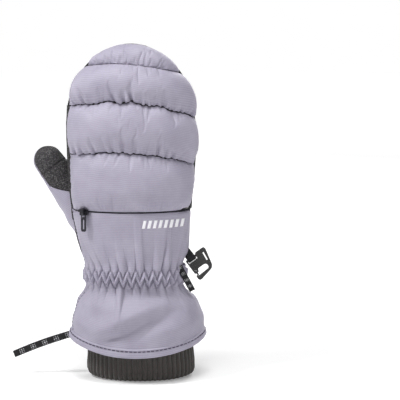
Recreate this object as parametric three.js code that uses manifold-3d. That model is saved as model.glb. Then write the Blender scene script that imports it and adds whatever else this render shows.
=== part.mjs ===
// An insulated ski mitten for the right hand, in millimetres, standing on its knitted cuff.
// +Z points to the fingertips, -Y out of the back of the hand, +Y out of the palm,
// and the thumb points to -X. Its layers nest from the shell inwards: shell panels,
// wadding, waterproof membrane, fleece lining. Soft pieces are plain closed solids.
import * as THREE from "three";
import { mergeVertices } from "three/addons/utils/BufferGeometryUtils.js";
import Module from "manifold-3d";

const wasm = await Module();
wasm.setup();

// ---------------------------------------------------------------- driving dimensions

const FABRIC = 1.2; // thickness of a shell panel
const SEAM_GAP = 0.4; // clear space between two sewn pieces
const FAR = 200; // reaches past the whole object

// Heights above the floor
const WRIST_LOW = 84;
const WRIST_HIGH = 101;
const DOME_Z = 228; // where the rounded tip starts
const APEX_Z = 296;

// Cross-sections of the hand, ovals from wrist to fingers
const HAND_STATIONS = [
  { z: 80, x: -3.3, half: 41.1, back: 24.5, palm: 21.5 },
  { z: WRIST_HIGH, x: -3.3, half: 41.1, back: 25, palm: 22 },
  { z: 112, x: -4, half: 45.4, back: 26.5, palm: 23 },
  { z: 125, x: -5.2, half: 49.5, back: 28, palm: 24 },
  { z: 150, x: -6.7, half: 52.9, back: 29, palm: 25 },
  { z: 187, x: -6, half: 55.6, back: 29, palm: 25 },
  { z: DOME_Z, x: -6.2, half: 56.4, back: 28.5, palm: 24.5 },
];
const HAND_SEGMENTS = 24;
const PALM_CURL = 7; // how far the fingertips lean towards the palm
const SIDE_SEAM_Y = -3; // the back panels end this far in front of the widest line

// Quilting seams across the back: height in the middle, how far their ends drop, and their slope
const ZIP_SEAM = { z: 151.4, drop: 0, slope: 0 };
const HAND_SEAM = { z: 203, drop: 6, slope: 4 };
const KNUCKLE_SEAM = { z: 247, drop: 9, slope: 5 };
const TIP_SEAM = { z: 280, drop: 4.5, slope: 3 };
const PALM_CAP_SEAM = { z: 280.6, drop: 17.2, slope: 2.5 };
const PUFF = 3.5; // how far a quilted baffle stands out between its seams

// Thumb: a tapering tube with a round end
const THUMB_ROOT = new THREE.Vector3(-21, 6, 109);
const THUMB_END = new THREE.Vector3(-81, 15, 193);
const THUMB_ROOT_R = 21;
const THUMB_END_R = 12.5;
const THUMB_SEGMENTS = 16;
const THUMB_FLAT = 0.92; // its depth over its width
const THUMB_CAP_LENGTH = 20; // length of the patch over the thumb's tip

// Layers inside the shell, as depths below the outer surface over the hand and at the wrist
const WADDING_OUT = 1.6;
const WADDING_IN = { hand: 6, wrist: 2.4 };
const MEMBRANE_OUT = { hand: 6.4, wrist: 2.8 };
const MEMBRANE_IN = { hand: 7, wrist: 3.2 };
const LINING_OUT = { hand: 7.4, wrist: 3.6 };
const LINING_IN = { hand: 8.8, wrist: 5 };
const WADDING_END_Z = 106;
const MEMBRANE_END_Z = 103;
const LINING_END_Z = 88;

// Gauntlet: a flared skirt whose hem hangs lower in the middle than at the sides
const GAUNTLET_STATIONS = [
  { v: 0, x: -3.3, half: 41.1, back: 25, palm: 22 },
  { v: 0.3, x: -2, half: 49.5, back: 31, palm: 28.5 },
  { v: 0.6, x: -1.2, half: 54.6, back: 36, palm: 33.5 },
  { v: 0.87, x: -0.9, half: 59.4, back: 39, palm: 37 },
  { v: 1, x: -1.4, half: 60.9, back: 40, palm: 38 },
];
const HEM_SIDE_Z = 38;
const HEM_DROP = 13;
const HEM_BAND_V = 0.87; // the hem band covers the skirt from here down
const HEM_THICK = 2.2;

// Knitted storm cuff
const CUFF_STATIONS = [
  { z: 0, x: 1.5, half: 49.3, back: 28, palm: 28 },
  { z: 27, x: 1, half: 47.7, back: 27.5, palm: 27.5 },
  { z: 60, x: -1.5, half: 41, back: 23, palm: 22 },
  { z: 86, x: -3.3, half: 36.4, back: 20.4, palm: 17.4 },
];
const CUFF_THICK = 3;

// Pocket zip, on an arc about a vertical axis
const ZIP_ARC_R = 85.2;
const ZIP_ARC_CENTRE = new THREE.Vector3(-6.7, 56.4, ZIP_SEAM.z);
const ZIP_HALF_ANGLE = THREE.MathUtils.degToRad(27);
const ZIP_SLIT = 0.8; // half the opening between its lips

// Glove clip, a flat hook moulded 4.2 thick
const CLIP_CENTRE = new THREE.Vector3(54.1, 0, 104.8);
const CLIP_TILT = Math.atan2(0.593, 0.805);
const CLIP_THICK = 4.2;
const CLIP_BAR = { x: -4.8, z: 6, r: 1.1, half: 4.6 };
const GATE_PIVOT = { x: -8.4, z: -5.8 };

// Wrist leash, a folded loop of ribbon
const LEASH_ROOT = new THREE.Vector3(-63.2, 0, 37);
const LEASH_TILT = THREE.MathUtils.degToRad(20);
const LEASH_LENGTH = 54;
const LEASH_WIDTH = 6;

// Woven side label
const LABEL_TOP = new THREE.Vector3(33.8, -12.2, 100.5);
const LABEL_TILT = THREE.MathUtils.degToRad(28);
const LABEL_LENGTH = 25;
const LABEL_WIDTH = 5.5;

// ---------------------------------------------------------------- solids and booleans

function solid(geometry) {
  const loose = geometry.index ? geometry.toNonIndexed() : geometry;
  const bare = new THREE.BufferGeometry().setAttribute("position", loose.attributes.position);
  const merged = mergeVertices(bare, 1e-4);
  const mesh = new wasm.Mesh({
    numProp: 3,
    vertProperties: merged.attributes.position.array,
    triVerts: new Uint32Array(merged.index.array),
  });
  return new wasm.Manifold(mesh);
}

function geometryOf(body) {
  const mesh = body.getMesh();
  const geometry = new THREE.BufferGeometry();
  geometry.setAttribute("position", new THREE.BufferAttribute(mesh.vertProperties, 3));
  geometry.setIndex(new THREE.BufferAttribute(mesh.triVerts, 1));
  geometry.computeVertexNormals();
  return geometry;
}

// The largest of a cut's bodies, without the slivers that a cut can leave.
function mainBody(body) {
  return body.decompose().sort((a, b) => b.volume() - a.volume())[0];
}

// A prism over an outline in the XZ plane, from y = from to y = to.
function prismXZ(shape, from, to) {
  const geometry = new THREE.ExtrudeGeometry(shape, {
    depth: to - from,
    bevelEnabled: false,
    curveSegments: 8,
  });
  return solid(geometry.rotateX(Math.PI / 2).translate(0, to, 0));
}

function outline(points) {
  const corners = points.map(([x, z]) => new THREE.Vector2(x, z));
  return new THREE.Shape(THREE.ShapeUtils.isClockWise(corners) ? corners.reverse() : corners);
}

// Everything between two heights.
function slab(low, high) {
  const height = high - low;
  const box = new THREE.BoxGeometry(2 * FAR, 2 * FAR, height);
  return solid(box.translate(0, 0, low + height / 2));
}

// ---------------------------------------------------------------- ovals and forms

function between(stations, key, at) {
  const next = stations.findIndex((s) => s[key] >= at);
  if (next === 0) return stations[0];
  if (next < 0) return stations.at(-1);
  const a = stations[next - 1];
  const b = stations[next];
  const t = (at - a[key]) / (b[key] - a[key]);
  const mix = (name) => THREE.MathUtils.lerp(a[name], b[name], t);
  return { x: mix("x"), half: mix("half"), back: mix("back"), palm: mix("palm") };
}

// A closed body of stacked rings with flat ends. place gives the point at an angle and a row,
// and centre gives the middle of the first or last row.
function ringBody(rows, segments, place, centre) {
  const last = rows.length - 1;
  const profile = [
    new THREE.Vector2(0, 0),
    ...rows.map((_, i) => new THREE.Vector2(1, i)),
    new THREE.Vector2(0, last),
  ];
  const geometry = new THREE.LatheGeometry(profile, segments);
  const position = geometry.attributes.position;
  for (let k = 0; k < position.count; k++) {
    const column = Math.floor(k / profile.length) % segments;
    const j = k % profile.length;
    const angle = (column / segments) * 2 * Math.PI;
    let point;
    if (j === 0) point = centre(rows[0]);
    else if (j === profile.length - 1) point = centre(rows[last]);
    else point = place(angle, rows[j - 1]);
    position.setXYZ(k, point.x, point.y, point.z);
  }
  return solid(geometry);
}

const curl = (z) => PALM_CURL * Math.max(0, (z - WRIST_HIGH) / (APEX_Z - WRIST_HIGH)) ** 2;

// The hand's oval at a height, shrunk to nothing over the rounded tip.
function handOval(z) {
  const oval = between(HAND_STATIONS, "z", z);
  const t = Math.max(0, (z - DOME_Z) / (APEX_Z - DOME_Z));
  const width = Math.sqrt(1 - t ** 2);
  const depth = Math.sqrt(1 - t ** 3);
  return { x: oval.x, half: oval.half * width, back: oval.back * depth, palm: oval.palm * depth };
}

// How far a row at nominal height z drops at s, where s runs from -1 at the thumb to 1.
function seamDrop(z, s) {
  const knots = [
    { z: WRIST_HIGH, drop: 0, slope: 0 },
    ZIP_SEAM,
    HAND_SEAM,
    KNUCKLE_SEAM,
    TIP_SEAM,
    { z: APEX_Z, drop: 0, slope: 0 },
  ];
  const next = Math.max(1, knots.findIndex((k) => k.z >= z));
  const [a, b] = [knots[next - 1], knots[next]];
  const t = THREE.MathUtils.clamp((z - a.z) / (b.z - a.z), 0, 1);
  const drop = THREE.MathUtils.lerp(a.drop, b.drop, t);
  const slope = THREE.MathUtils.lerp(a.slope, b.slope, t);
  return -drop * s * s - slope * s;
}

// How far the quilting stands out at a row: nothing at a seam, most between two.
function puffAt(z) {
  const seams = [ZIP_SEAM.z, HAND_SEAM.z, KNUCKLE_SEAM.z, TIP_SEAM.z, APEX_Z + 12];
  const next = seams.findIndex((s) => s > z);
  if (next < 1) return 0;
  const v = (z - seams[next - 1]) / (seams[next] - seams[next - 1]);
  return PUFF * Math.sqrt(Math.max(0, 1 - (2 * v - 1) ** 2));
}

const QUILT_ROWS = [
  80, WRIST_HIGH, 112, 128, ZIP_SEAM.z, 159, 177, 196, HAND_SEAM.z, 209, 225, 241, KNUCKLE_SEAM.z,
  252, 264, 275, TIP_SEAM.z, 286, 292,
];
const PLAIN_ROWS = [80, WRIST_HIGH, 112, 128, DOME_Z, 258, 277, 290];

function smoothly(z, depth) {
  return THREE.MathUtils.lerp(depth.wrist, depth.hand, THREE.MathUtils.smoothstep(z, 100, 128));
}

// The hand's form, this deep below the outer surface. Quilted forms have the baffles' shape.
function handForm(depth, quilted) {
  const rows = quilted ? QUILT_ROWS : PLAIN_ROWS;
  const inset = (z) => (typeof depth === "number" ? depth : smoothly(z, depth));
  const squeeze = (z) => THREE.MathUtils.mapLinear(z, 80, APEX_Z, 80, APEX_Z - inset(APEX_Z));
  const place = (angle, row) => {
    const oval = handOval(row);
    const [c, s] = [Math.cos(angle), Math.sin(angle)];
    const out = quilted ? puffAt(row) * Math.sqrt(Math.max(0, -s)) : 0;
    const deep = (s < 0 ? oval.back : oval.palm) + out - inset(row) * Math.min(1, oval.half / 20);
    const half = oval.half + 0.3 * out - inset(row) * Math.min(1, oval.half / 20);
    const z = squeeze(row) + (quilted ? seamDrop(row, c) : 0);
    return new THREE.Vector3(oval.x + half * c, curl(row) + deep * s, z);
  };
  const centre = (row) => {
    const tip = row > DOME_Z ? APEX_Z : row;
    return new THREE.Vector3(handOval(row).x, curl(row), squeeze(tip));
  };
  return ringBody(rows, HAND_SEGMENTS, place, centre);
}

const THUMB_AXIS = THUMB_END.clone().sub(THUMB_ROOT).normalize();
const THUMB_SIDE = new THREE.Vector3(THUMB_AXIS.z, 0, -THUMB_AXIS.x).normalize();
const THUMB_FRONT = THUMB_AXIS.clone().cross(THUMB_SIDE);
const THUMB_LENGTH = THUMB_END.distanceTo(THUMB_ROOT);

// The thumb's form, this deep below its outer surface.
function thumbForm(depth) {
  const stem = [0, 0.33, 0.66, 1].map((t) => ({
    along: t * THUMB_LENGTH,
    r: THREE.MathUtils.lerp(THUMB_ROOT_R, THUMB_END_R, t) - depth,
  }));
  const tipR = THUMB_END_R - depth;
  const cap = [0.45, 0.75, 0.93].map((t) => ({
    along: THUMB_LENGTH + tipR * t,
    r: tipR * Math.sqrt(1 - t * t),
  }));
  const rows = [...stem, ...cap];
  const place = (angle, row) =>
    THUMB_ROOT.clone()
      .addScaledVector(THUMB_AXIS, row.along)
      .addScaledVector(THUMB_SIDE, row.r * Math.cos(angle))
      .addScaledVector(THUMB_FRONT, THUMB_FLAT * row.r * Math.sin(angle));
  const centre = (row) => {
    const along = row === rows[0] ? row.along : THUMB_LENGTH + tipR;
    return THUMB_ROOT.clone().addScaledVector(THUMB_AXIS, along);
  };
  return ringBody(rows, THUMB_SEGMENTS, place, centre);
}

// ---------------------------------------------------------------- cutting lines

// A seam across the hand as a curve over x, lifted by this much. The drop is a parabola,
// so its curve is exact.
function seamCurve(seam, lift) {
  const { x, half } = handOval(Math.min(seam.z, 281));
  const z = (s) => seam.z + lift - seam.drop * s * s - seam.slope * s;
  const reach = 1.6;
  const end = (s) => new THREE.Vector2(x + half * s, z(s));
  const control = new THREE.Vector2(x, seam.z + lift + seam.drop * reach * reach);
  return { start: end(-reach), control, end: end(reach) };
}

// Everything between two seams, over the whole depth. With no upper seam it reaches past the tip.
function seamPrism(low, high, gap) {
  const shape = new THREE.Shape();
  const bottom = low ? seamCurve(low, gap) : null;
  const top = high ? seamCurve(high, -gap) : null;
  if (bottom) {
    shape.moveTo(bottom.start.x, bottom.start.y);
    shape.quadraticCurveTo(bottom.control.x, bottom.control.y, bottom.end.x, bottom.end.y);
  } else {
    shape.moveTo(-FAR, 0);
    shape.lineTo(FAR, 0);
  }
  if (top) {
    shape.lineTo(top.end.x, top.end.y);
    shape.quadraticCurveTo(top.control.x, top.control.y, top.start.x, top.start.y);
  } else {
    shape.lineTo(FAR, FAR + APEX_Z);
    shape.lineTo(-FAR, FAR + APEX_Z);
  }
  return prismXZ(shape, -FAR, FAR);
}

// Everything on the palm's side of the side seam, which follows the curl of the fingers.
function palmHalf(gap) {
  const y = SIDE_SEAM_Y + gap;
  const shape = new THREE.Shape();
  shape.moveTo(y, 0);
  shape.lineTo(y, WRIST_HIGH);
  shape.quadraticCurveTo(y, (WRIST_HIGH + APEX_Z) / 2, y + PALM_CURL, APEX_Z);
  shape.lineTo(y + PALM_CURL, APEX_Z + 40);
  shape.lineTo(FAR, APEX_Z + 40);
  shape.lineTo(FAR, 0);
  const geometry = new THREE.ExtrudeGeometry(shape, { depth: 2 * FAR, bevelEnabled: false });
  // The outline's own axes turn to Y and Z, and its depth to X.
  geometry.rotateX(Math.PI / 2).rotateZ(Math.PI / 2).translate(-FAR, 0, 0);
  return solid(geometry);
}

// ---------------------------------------------------------------- materials and meshes

const finish = (color, roughness, metalness = 0) =>
  new THREE.MeshStandardMaterial({ color, roughness, metalness });
const LAVENDER = finish(0xb5afc0, 0.72);
const GRIP = finish(0x3a383b, 0.85);
const KNIT = finish(0x3d3a39, 0.95);
const WADDING = finish(0xf1f0ee, 0.95);
const MEMBRANE = finish(0xdfe6ea, 0.5);
const FLEECE = finish(0x45434a, 0.98);
const MESH_CLOTH = finish(0x6d6975, 0.9);
const ELASTIC = finish(0xe9e7e4, 0.8);
const RIBBON = finish(0x1d1c20, 0.75);
const ZIP_TAPE = finish(0x2b2930, 0.8);
const NYLON = finish(0x232225, 0.45);
const GUNMETAL = finish(0x3b3a3e, 0.35, 0.9);

const mitten = new THREE.Group();

function add(name, body, material, parent = mitten) {
  const mesh = new THREE.Mesh(geometryOf(mainBody(body)), material);
  mesh.name = name;
  parent.add(mesh);
  return mesh;
}

// ---------------------------------------------------------------- hand shell

const handOuter = handForm(0, true);
const handUnder = handForm(FABRIC, true);
const thumbOuter = thumbForm(0);
const thumbUnder = thumbForm(FABRIC);
const aboveWrist = slab(WRIST_HIGH + SEAM_GAP, FAR + APEX_Z);
const handShell = handOuter.subtract(handUnder).subtract(thumbForm(-SEAM_GAP)).intersect(aboveWrist);
const palmSide = palmHalf(SEAM_GAP / 2);
const backSide = slab(0, FAR + APEX_Z).subtract(palmHalf(-SEAM_GAP / 2));

// Below the hand seam the shell of the back wraps round the little finger's side onto the palm.
const sideWedge = (gap) =>
  prismXZ(
    outline([
      [48.5 + gap, 148],
      [28 + gap, WRIST_HIGH],
      [FAR, WRIST_HIGH],
      [FAR, 148],
    ]),
    -FAR,
    FAR,
  );

const BAFFLES = [
  ["back_hand_baffle", ZIP_SEAM, HAND_SEAM],
  ["back_knuckle_baffle", HAND_SEAM, KNUCKLE_SEAM],
  ["back_finger_baffle", KNUCKLE_SEAM, TIP_SEAM],
  ["back_tip_baffle", TIP_SEAM, null],
];

function backBaffles() {
  for (const [name, low, high] of BAFFLES) {
    const gap = low === ZIP_SEAM ? 0 : SEAM_GAP / 2;
    const lift = low === ZIP_SEAM ? { ...low, z: low.z + ZIP_SLIT } : low;
    add(name, handShell.intersect(backSide).intersect(seamPrism(lift, high, gap)), LAVENDER);
  }
}

function pocketPanel() {
  const lip = { ...ZIP_SEAM, z: ZIP_SEAM.z - ZIP_SLIT };
  const wrap = sideWedge(0).intersect(palmHalf(-SEAM_GAP / 2 - 0.01));
  const region = backSide.add(wrap).intersect(seamPrism(null, lip, 0));
  add("pocket_panel", handShell.intersect(region), LAVENDER);
}

function palmPanels() {
  const palm = handShell.intersect(palmSide).subtract(sideWedge(-SEAM_GAP));
  add("palm_panel", palm.intersect(seamPrism(null, PALM_CAP_SEAM, SEAM_GAP / 2)), GRIP);
  add("fingertip_cap", palm.intersect(seamPrism(PALM_CAP_SEAM, null, SEAM_GAP / 2)), GRIP);
}

// ---------------------------------------------------------------- thumb shell

// The grip covers the thumb's palm side and its edge towards the fingers. Seen from the back
// its seam runs up to the crotch, and seen from the palm it follows the thumb down to the wrist.
function gripRegion(gap) {
  const y = THUMB_ROOT.y + 4;
  const backView = outline([
    [-130, 196 + gap],
    [-94, 188 + gap],
    [-88, 178 + gap],
    [-77, 169 + gap],
    [-62, 166 + gap],
    [0, 166 + gap],
    [0, 260],
    [-130, 260],
  ]);
  const palmView = outline([
    [-130, 196 + gap],
    [-94, 188 + gap],
    [-88, 176 + gap],
    [-60 + gap, 140],
    [-43 + gap, 105],
    [-41 + gap, 80],
    [40, 80],
    [40, 260],
    [-130, 260],
  ]);
  return prismXZ(backView, -FAR, y + 0.01).add(prismXZ(palmView, y, FAR));
}

// Everything past the seam of the thumb's tip patch.
function thumbTipRegion(gap) {
  const size = 80;
  const box = new THREE.BoxGeometry(size, size, size);
  const turn = new THREE.Quaternion().setFromUnitVectors(new THREE.Vector3(0, 0, 1), THUMB_AXIS);
  const start = THUMB_LENGTH + THUMB_END_R - THUMB_CAP_LENGTH + gap;
  const middle = THUMB_ROOT.clone().addScaledVector(THUMB_AXIS, start + size / 2);
  return solid(box.applyQuaternion(turn).translate(middle.x, middle.y, middle.z));
}

function thumbPanels() {
  const shell = thumbOuter.subtract(thumbUnder).subtract(handUnder).intersect(aboveWrist);
  const grip = shell.intersect(gripRegion(SEAM_GAP / 2));
  add("thumb_back", shell.subtract(gripRegion(-SEAM_GAP / 2)), LAVENDER);
  add("thumb_grip", grip.subtract(thumbTipRegion(-SEAM_GAP / 2)), GRIP);
  add("thumb_tip_cap", grip.intersect(thumbTipRegion(SEAM_GAP / 2)), GRIP);
}

// ---------------------------------------------------------------- wadding, membrane, lining

// A layer of the hand between two depths, cut to an outline on the back.
function backLayer(outer, inner, shape) {
  return handForm(outer, true).subtract(handForm(inner, true)).intersect(prismXZ(shape, -FAR, -4));
}

const POCKET = [
  [-40, 110],
  [28, 110],
  [31, 143],
  [-43, 143],
];
const grown = (points, by) =>
  points.map(([x, z]) => [x + Math.sign(x) * by, z + (z > 126 ? by : -by)]);

function waddingPieces() {
  const room = prismXZ(outline([[-54, 143.4], [41, 143.4], [41, 161], [-54, 161]]), -FAR, -4);
  const zipRoom = handForm(0, true).subtract(handForm(3.5, true)).intersect(room);
  const pocketRoom = backLayer(0, 3.9, outline(grown(POCKET, 0.4)));
  const outer = handForm(WADDING_OUT, true);
  const inner = handForm(WADDING_IN, false);
  const layer = outer
    .subtract(inner)
    .subtract(thumbForm(WADDING_OUT - SEAM_GAP))
    .intersect(slab(WADDING_END_Z, FAR + APEX_Z));
  const back = layer.intersect(backSide).subtract(zipRoom).subtract(pocketRoom);
  add("palm_wadding", layer.intersect(palmSide), WADDING);
  add("pocket_wadding", back.intersect(seamPrism(null, ZIP_SEAM, SEAM_GAP / 2)), WADDING);
  for (const [name, low, high] of BAFFLES) {
    const filling = back.intersect(seamPrism(low, high, SEAM_GAP / 2));
    add(name.replace("baffle", "wadding"), filling, WADDING);
  }
  const thumb = thumbForm(WADDING_OUT).subtract(thumbForm(WADDING_IN.hand)).subtract(inner);
  add("thumb_wadding", thumb.intersect(slab(WADDING_END_Z, FAR + APEX_Z)), WADDING);
}

// A bag with a hand and a thumb, open at the wrist.
function bag(outer, inner, end) {
  const outside = handForm(outer, false).add(thumbForm(outer.hand));
  const inside = handForm(inner, false).add(thumbForm(inner.hand));
  return outside.subtract(inside).intersect(slab(end, FAR + APEX_Z));
}

function innerBags() {
  add("waterproof_membrane", bag(MEMBRANE_OUT, MEMBRANE_IN, MEMBRANE_END_Z), MEMBRANE);
  add("fleece_lining", bag(LINING_OUT, LINING_IN, LINING_END_Z), FLEECE);
}

function pocketBag() {
  const pouch = backLayer(1.6, 3.4, outline(POCKET));
  const hollow = outline([[-40.3, 110.6], [28.8, 110.6], [31.7, 144], [-43.2, 144]]);
  add("pocket_bag", pouch.subtract(backLayer(2.1, 2.9, hollow)), MESH_CLOTH);
}

// ---------------------------------------------------------------- wrist, gauntlet and cuff

function ovalPoint(oval, angle, depth, z) {
  const deep = Math.sin(angle) < 0 ? oval.back : oval.palm;
  return new THREE.Vector3(
    oval.x + (oval.half - depth) * Math.cos(angle),
    (deep - depth) * Math.sin(angle),
    z,
  );
}

// A tube with an oval section: the form at one depth with the form at another taken out.
function ovalTube(stations, key, rows, depths, heightOf, segments) {
  const form = (depth, overrun) => {
    const place = (angle, row) => {
      const oval = between(stations, key, row);
      return ovalPoint(oval, angle, depth, heightOf(row, angle) + overrun(row));
    };
    const centre = (row) => {
      const oval = between(stations, key, row);
      return new THREE.Vector3(oval.x, 0, heightOf(row, Math.PI / 2) + overrun(row));
    };
    return ringBody(rows, segments, place, centre);
  };
  const past = (row) => (row === rows[0] ? -1 : row === rows.at(-1) ? 1 : 0);
  return form(depths[0], () => 0).subtract(form(depths[1], past));
}

function wristBand() {
  const level = (row) => row;
  const band = (low, high, depths) => ovalTube(HAND_STATIONS, "z", [low, high], depths, level, 28);
  add("wrist_band", band(WRIST_LOW + SEAM_GAP, WRIST_HIGH, [0, FABRIC]), LAVENDER);
  add("upper_elastic", band(94.5, 100.5, [1.6, 2.5]), ELASTIC);
  add("lower_elastic", band(85, 91, [1.6, 2.5]), ELASTIC);
}

// Height of the skirt at v, from the wrist at 0 to the hem at 1.
function skirtHeight(v, angle) {
  const hem = HEM_SIDE_Z - HEM_DROP * Math.abs(Math.sin(angle)) ** 1.5;
  return THREE.MathUtils.lerp(WRIST_LOW, hem, v);
}

function gauntlet() {
  const skirt = (rows, depths) =>
    ovalTube(GAUNTLET_STATIONS, "v", rows, depths, skirtHeight, 28);
  const panels = skirt([HEM_BAND_V - 0.012, 0.6, 0.3, 0], [0, FABRIC]);
  const strip = (from, to, y) =>
    prismXZ(outline([[from, -9], [to, -9], [to, 200], [from, 200]]), y, FAR);
  // The side seams lie forward of the middle on the thumb's side and behind it on the other.
  const palmSide = (gap) =>
    strip(-FAR, -20, gap - 8).add(strip(-20.01, 20.01, gap)).add(strip(20, FAR, gap + 8));
  add("gauntlet_palm", panels.intersect(palmSide(SEAM_GAP)), LAVENDER);
  add("gauntlet_back", panels.subtract(palmSide(0)), LAVENDER);
  add("hem_band", skirt([1, HEM_BAND_V], [-0.5, HEM_THICK - 0.5]), LAVENDER);
  add("gauntlet_lining", skirt([HEM_BAND_V - 0.012, 0.6, 0.3, 0.01], [1.6, 2.2]), MESH_CLOTH);
}

function knitCuff() {
  const rows = CUFF_STATIONS.map((s) => s.z);
  add("knit_cuff", ovalTube(CUFF_STATIONS, "z", rows, [0, CUFF_THICK], (row) => row, 28), KNIT);
}

// ---------------------------------------------------------------- pocket zip

// A group at the zip's axis, turned so that its -Y points at this angle along the zip.
function onZip(angle) {
  const group = new THREE.Group();
  group.position.copy(ZIP_ARC_CENTRE);
  group.rotation.z = angle;
  mitten.add(group);
  return group;
}

function zipStrip(name, low, high, depths, material) {
  const shape = outline([[-52, low], [39, low], [39, high], [-52, high]]);
  add(name, backLayer(depths[0], depths[1], shape), material);
}

function zipTapes() {
  zipStrip("zip_tape_upper", 153.2, 160, [1.6, 2.3], ZIP_TAPE);
  zipStrip("zip_tape_lower", 144, 149.6, [1.6, 2.3], ZIP_TAPE);
  zipStrip("zip_coil", 150.1, 152.7, [1.7, 3.1], NYLON);
}

function zipStops() {
  for (const [name, side] of [["zip_stop_thumb_side", -1], ["zip_stop_little_side", 1]]) {
    const box = new THREE.BoxGeometry(2.4, 1.4, 1).translate(0, -(ZIP_ARC_R - 0.2), 0);
    const angle = side * (ZIP_HALF_ANGLE + 0.075);
    add(name, solid(box), GUNMETAL, onZip(angle));
  }
}

const ZIP_PIVOT_OUT = 3.6; // the puller's hinge line outside the arc

function zipSlider(group) {
  const plate = new THREE.Shape();
  plate.moveTo(-4.6, -2);
  plate.quadraticCurveTo(-4.6, -3.1, -3.4, -3.1);
  plate.lineTo(3.2, -2.5);
  plate.quadraticCurveTo(4.6, 0, 3.2, 2.5);
  plate.lineTo(-3.4, 3.1);
  plate.quadraticCurveTo(-4.6, 3.1, -4.6, 2);
  const body = prismXZ(plate, -(ZIP_ARC_R + 2.7), -(ZIP_ARC_R + 1.3));
  const crown = new THREE.BoxGeometry(2, 3.4, 5.4).translate(0, -(ZIP_ARC_R + 3.8), 0);
  const window = new THREE.BoxGeometry(4, 2, 3).translate(0, -(ZIP_ARC_R + ZIP_PIVOT_OUT), 0);
  add("zip_slider", body.add(solid(crown)).subtract(solid(window)), GUNMETAL, group);
}

function zipPuller(group) {
  const half = 2.4;
  const outer = outline([
    [-half, 0.6],
    [half, 0.6],
    [half, -16],
    [half - 0.9, -17],
    [-half + 0.9, -17],
    [-half, -16],
  ]);
  outer.holes.push(
    new THREE.Path([
      new THREE.Vector2(-1.5, -0.6),
      new THREE.Vector2(1.5, -0.6),
      new THREE.Vector2(1.5, -4.2),
      new THREE.Vector2(-1.5, -4.2),
    ]),
    new THREE.Path([
      new THREE.Vector2(-0.9, -6.6),
      new THREE.Vector2(0.9, -6.6),
      new THREE.Vector2(0.9, -14.8),
      new THREE.Vector2(-0.9, -14.8),
    ]),
  );
  const y = -(ZIP_ARC_R + ZIP_PIVOT_OUT);
  add("zip_puller", prismXZ(outer, y - 0.5, y + 0.5), GUNMETAL, group);
}

// ---------------------------------------------------------------- glove clip

function clipGroup() {
  const group = new THREE.Group();
  group.position.copy(CLIP_CENTRE);
  group.rotation.y = -CLIP_TILT;
  mitten.add(group);
  return group;
}

// The hook's outline: a plate with the strap's slot at the top, a slit window, and a hook
// that curls under the plate and ends in a nose that stops the gate.
function clipOutline() {
  const shape = new THREE.Shape();
  shape.moveTo(-10.4, 6.4);
  shape.lineTo(-10.4, -6.6);
  shape.quadraticCurveTo(-10.4, -7.8, -9, -7.8);
  shape.lineTo(-7.2, -7.8);
  shape.quadraticCurveTo(-6.2, -7.8, -6, -6.6);
  shape.quadraticCurveTo(-5.6, -5, -4, -5);
  shape.lineTo(0.6, -5);
  shape.quadraticCurveTo(3.6, -5, 3.6, -7.8);
  shape.quadraticCurveTo(3.6, -10.4, 0.6, -10.7);
  shape.lineTo(-9.2, -11.2);
  shape.lineTo(-9.4, -10);
  shape.lineTo(-10.6, -10);
  shape.quadraticCurveTo(-11.6, -15, -8, -14.8);
  shape.lineTo(4, -12.2);
  shape.quadraticCurveTo(7, -11, 7.6, -7);
  shape.lineTo(10.4, 4.6);
  shape.quadraticCurveTo(10.8, 7.6, 7.8, 7.6);
  shape.lineTo(0.9, 7.6);
  shape.lineTo(-0.1, 6.6);
  shape.lineTo(-0.1, 2.4);
  shape.lineTo(-9.4, 2.4);
  shape.lineTo(-9.4, 6.4);
  return shape;
}

function slitHole() {
  return outline([
    [5.2, -4],
    [6.6, -4],
    [7.6, 4.2],
    [6.2, 4.2],
  ]);
}

function clipFrame(group) {
  const half = CLIP_THICK / 2;
  const plate = prismXZ(clipOutline(), -half, half).subtract(prismXZ(slitHole(), -half - 1, half + 1));
  const bar = new THREE.CylinderGeometry(CLIP_BAR.r, CLIP_BAR.r, 2 * CLIP_BAR.half + 1, 8);
  bar.rotateZ(Math.PI / 2).translate(CLIP_BAR.x, 0, CLIP_BAR.z - 0.6);
  const gateSlot = new THREE.BoxGeometry(4.2, 1.8, 6).translate(-8.5, 0, -6.6);
  const pinHole = new THREE.CylinderGeometry(0.9, 0.9, 8, 8).translate(GATE_PIVOT.x, 0, GATE_PIVOT.z);
  let ribs = plate.add(solid(bar));
  for (let i = 0; i < 4; i++) {
    const rib = new THREE.BoxGeometry(0.7, CLIP_THICK + 0.8, 6).translate(-8.8 + 1.7 * i, 0, -1.4);
    ribs = ribs.add(solid(rib));
  }
  add("clip_hook", ribs.subtract(solid(gateSlot)).subtract(solid(pinHole)), NYLON, group);
}

function clipGate(group) {
  const lever = new THREE.Shape();
  lever.moveTo(-7.7, -5.8);
  lever.absarc(GATE_PIVOT.x, GATE_PIVOT.z, 1.1, 0, Math.PI, false);
  lever.lineTo(-9.1, -10.4);
  lever.lineTo(-8.1, -10.7);
  lever.lineTo(-7.3, -5.8);
  const hole = new THREE.Path();
  hole.absarc(GATE_PIVOT.x, GATE_PIVOT.z, 0.75, 0, 2 * Math.PI, true);
  lever.holes.push(hole);
  add("clip_gate", prismXZ(lever, -0.6, 0.6), NYLON, group);
}

function gatePin(group) {
  const pin = new THREE.CylinderGeometry(0.5, 0.5, CLIP_THICK - 0.2, 8);
  add("gate_pin", solid(pin.translate(GATE_PIVOT.x, 0, GATE_PIVOT.z)), GUNMETAL, group);
}

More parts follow.
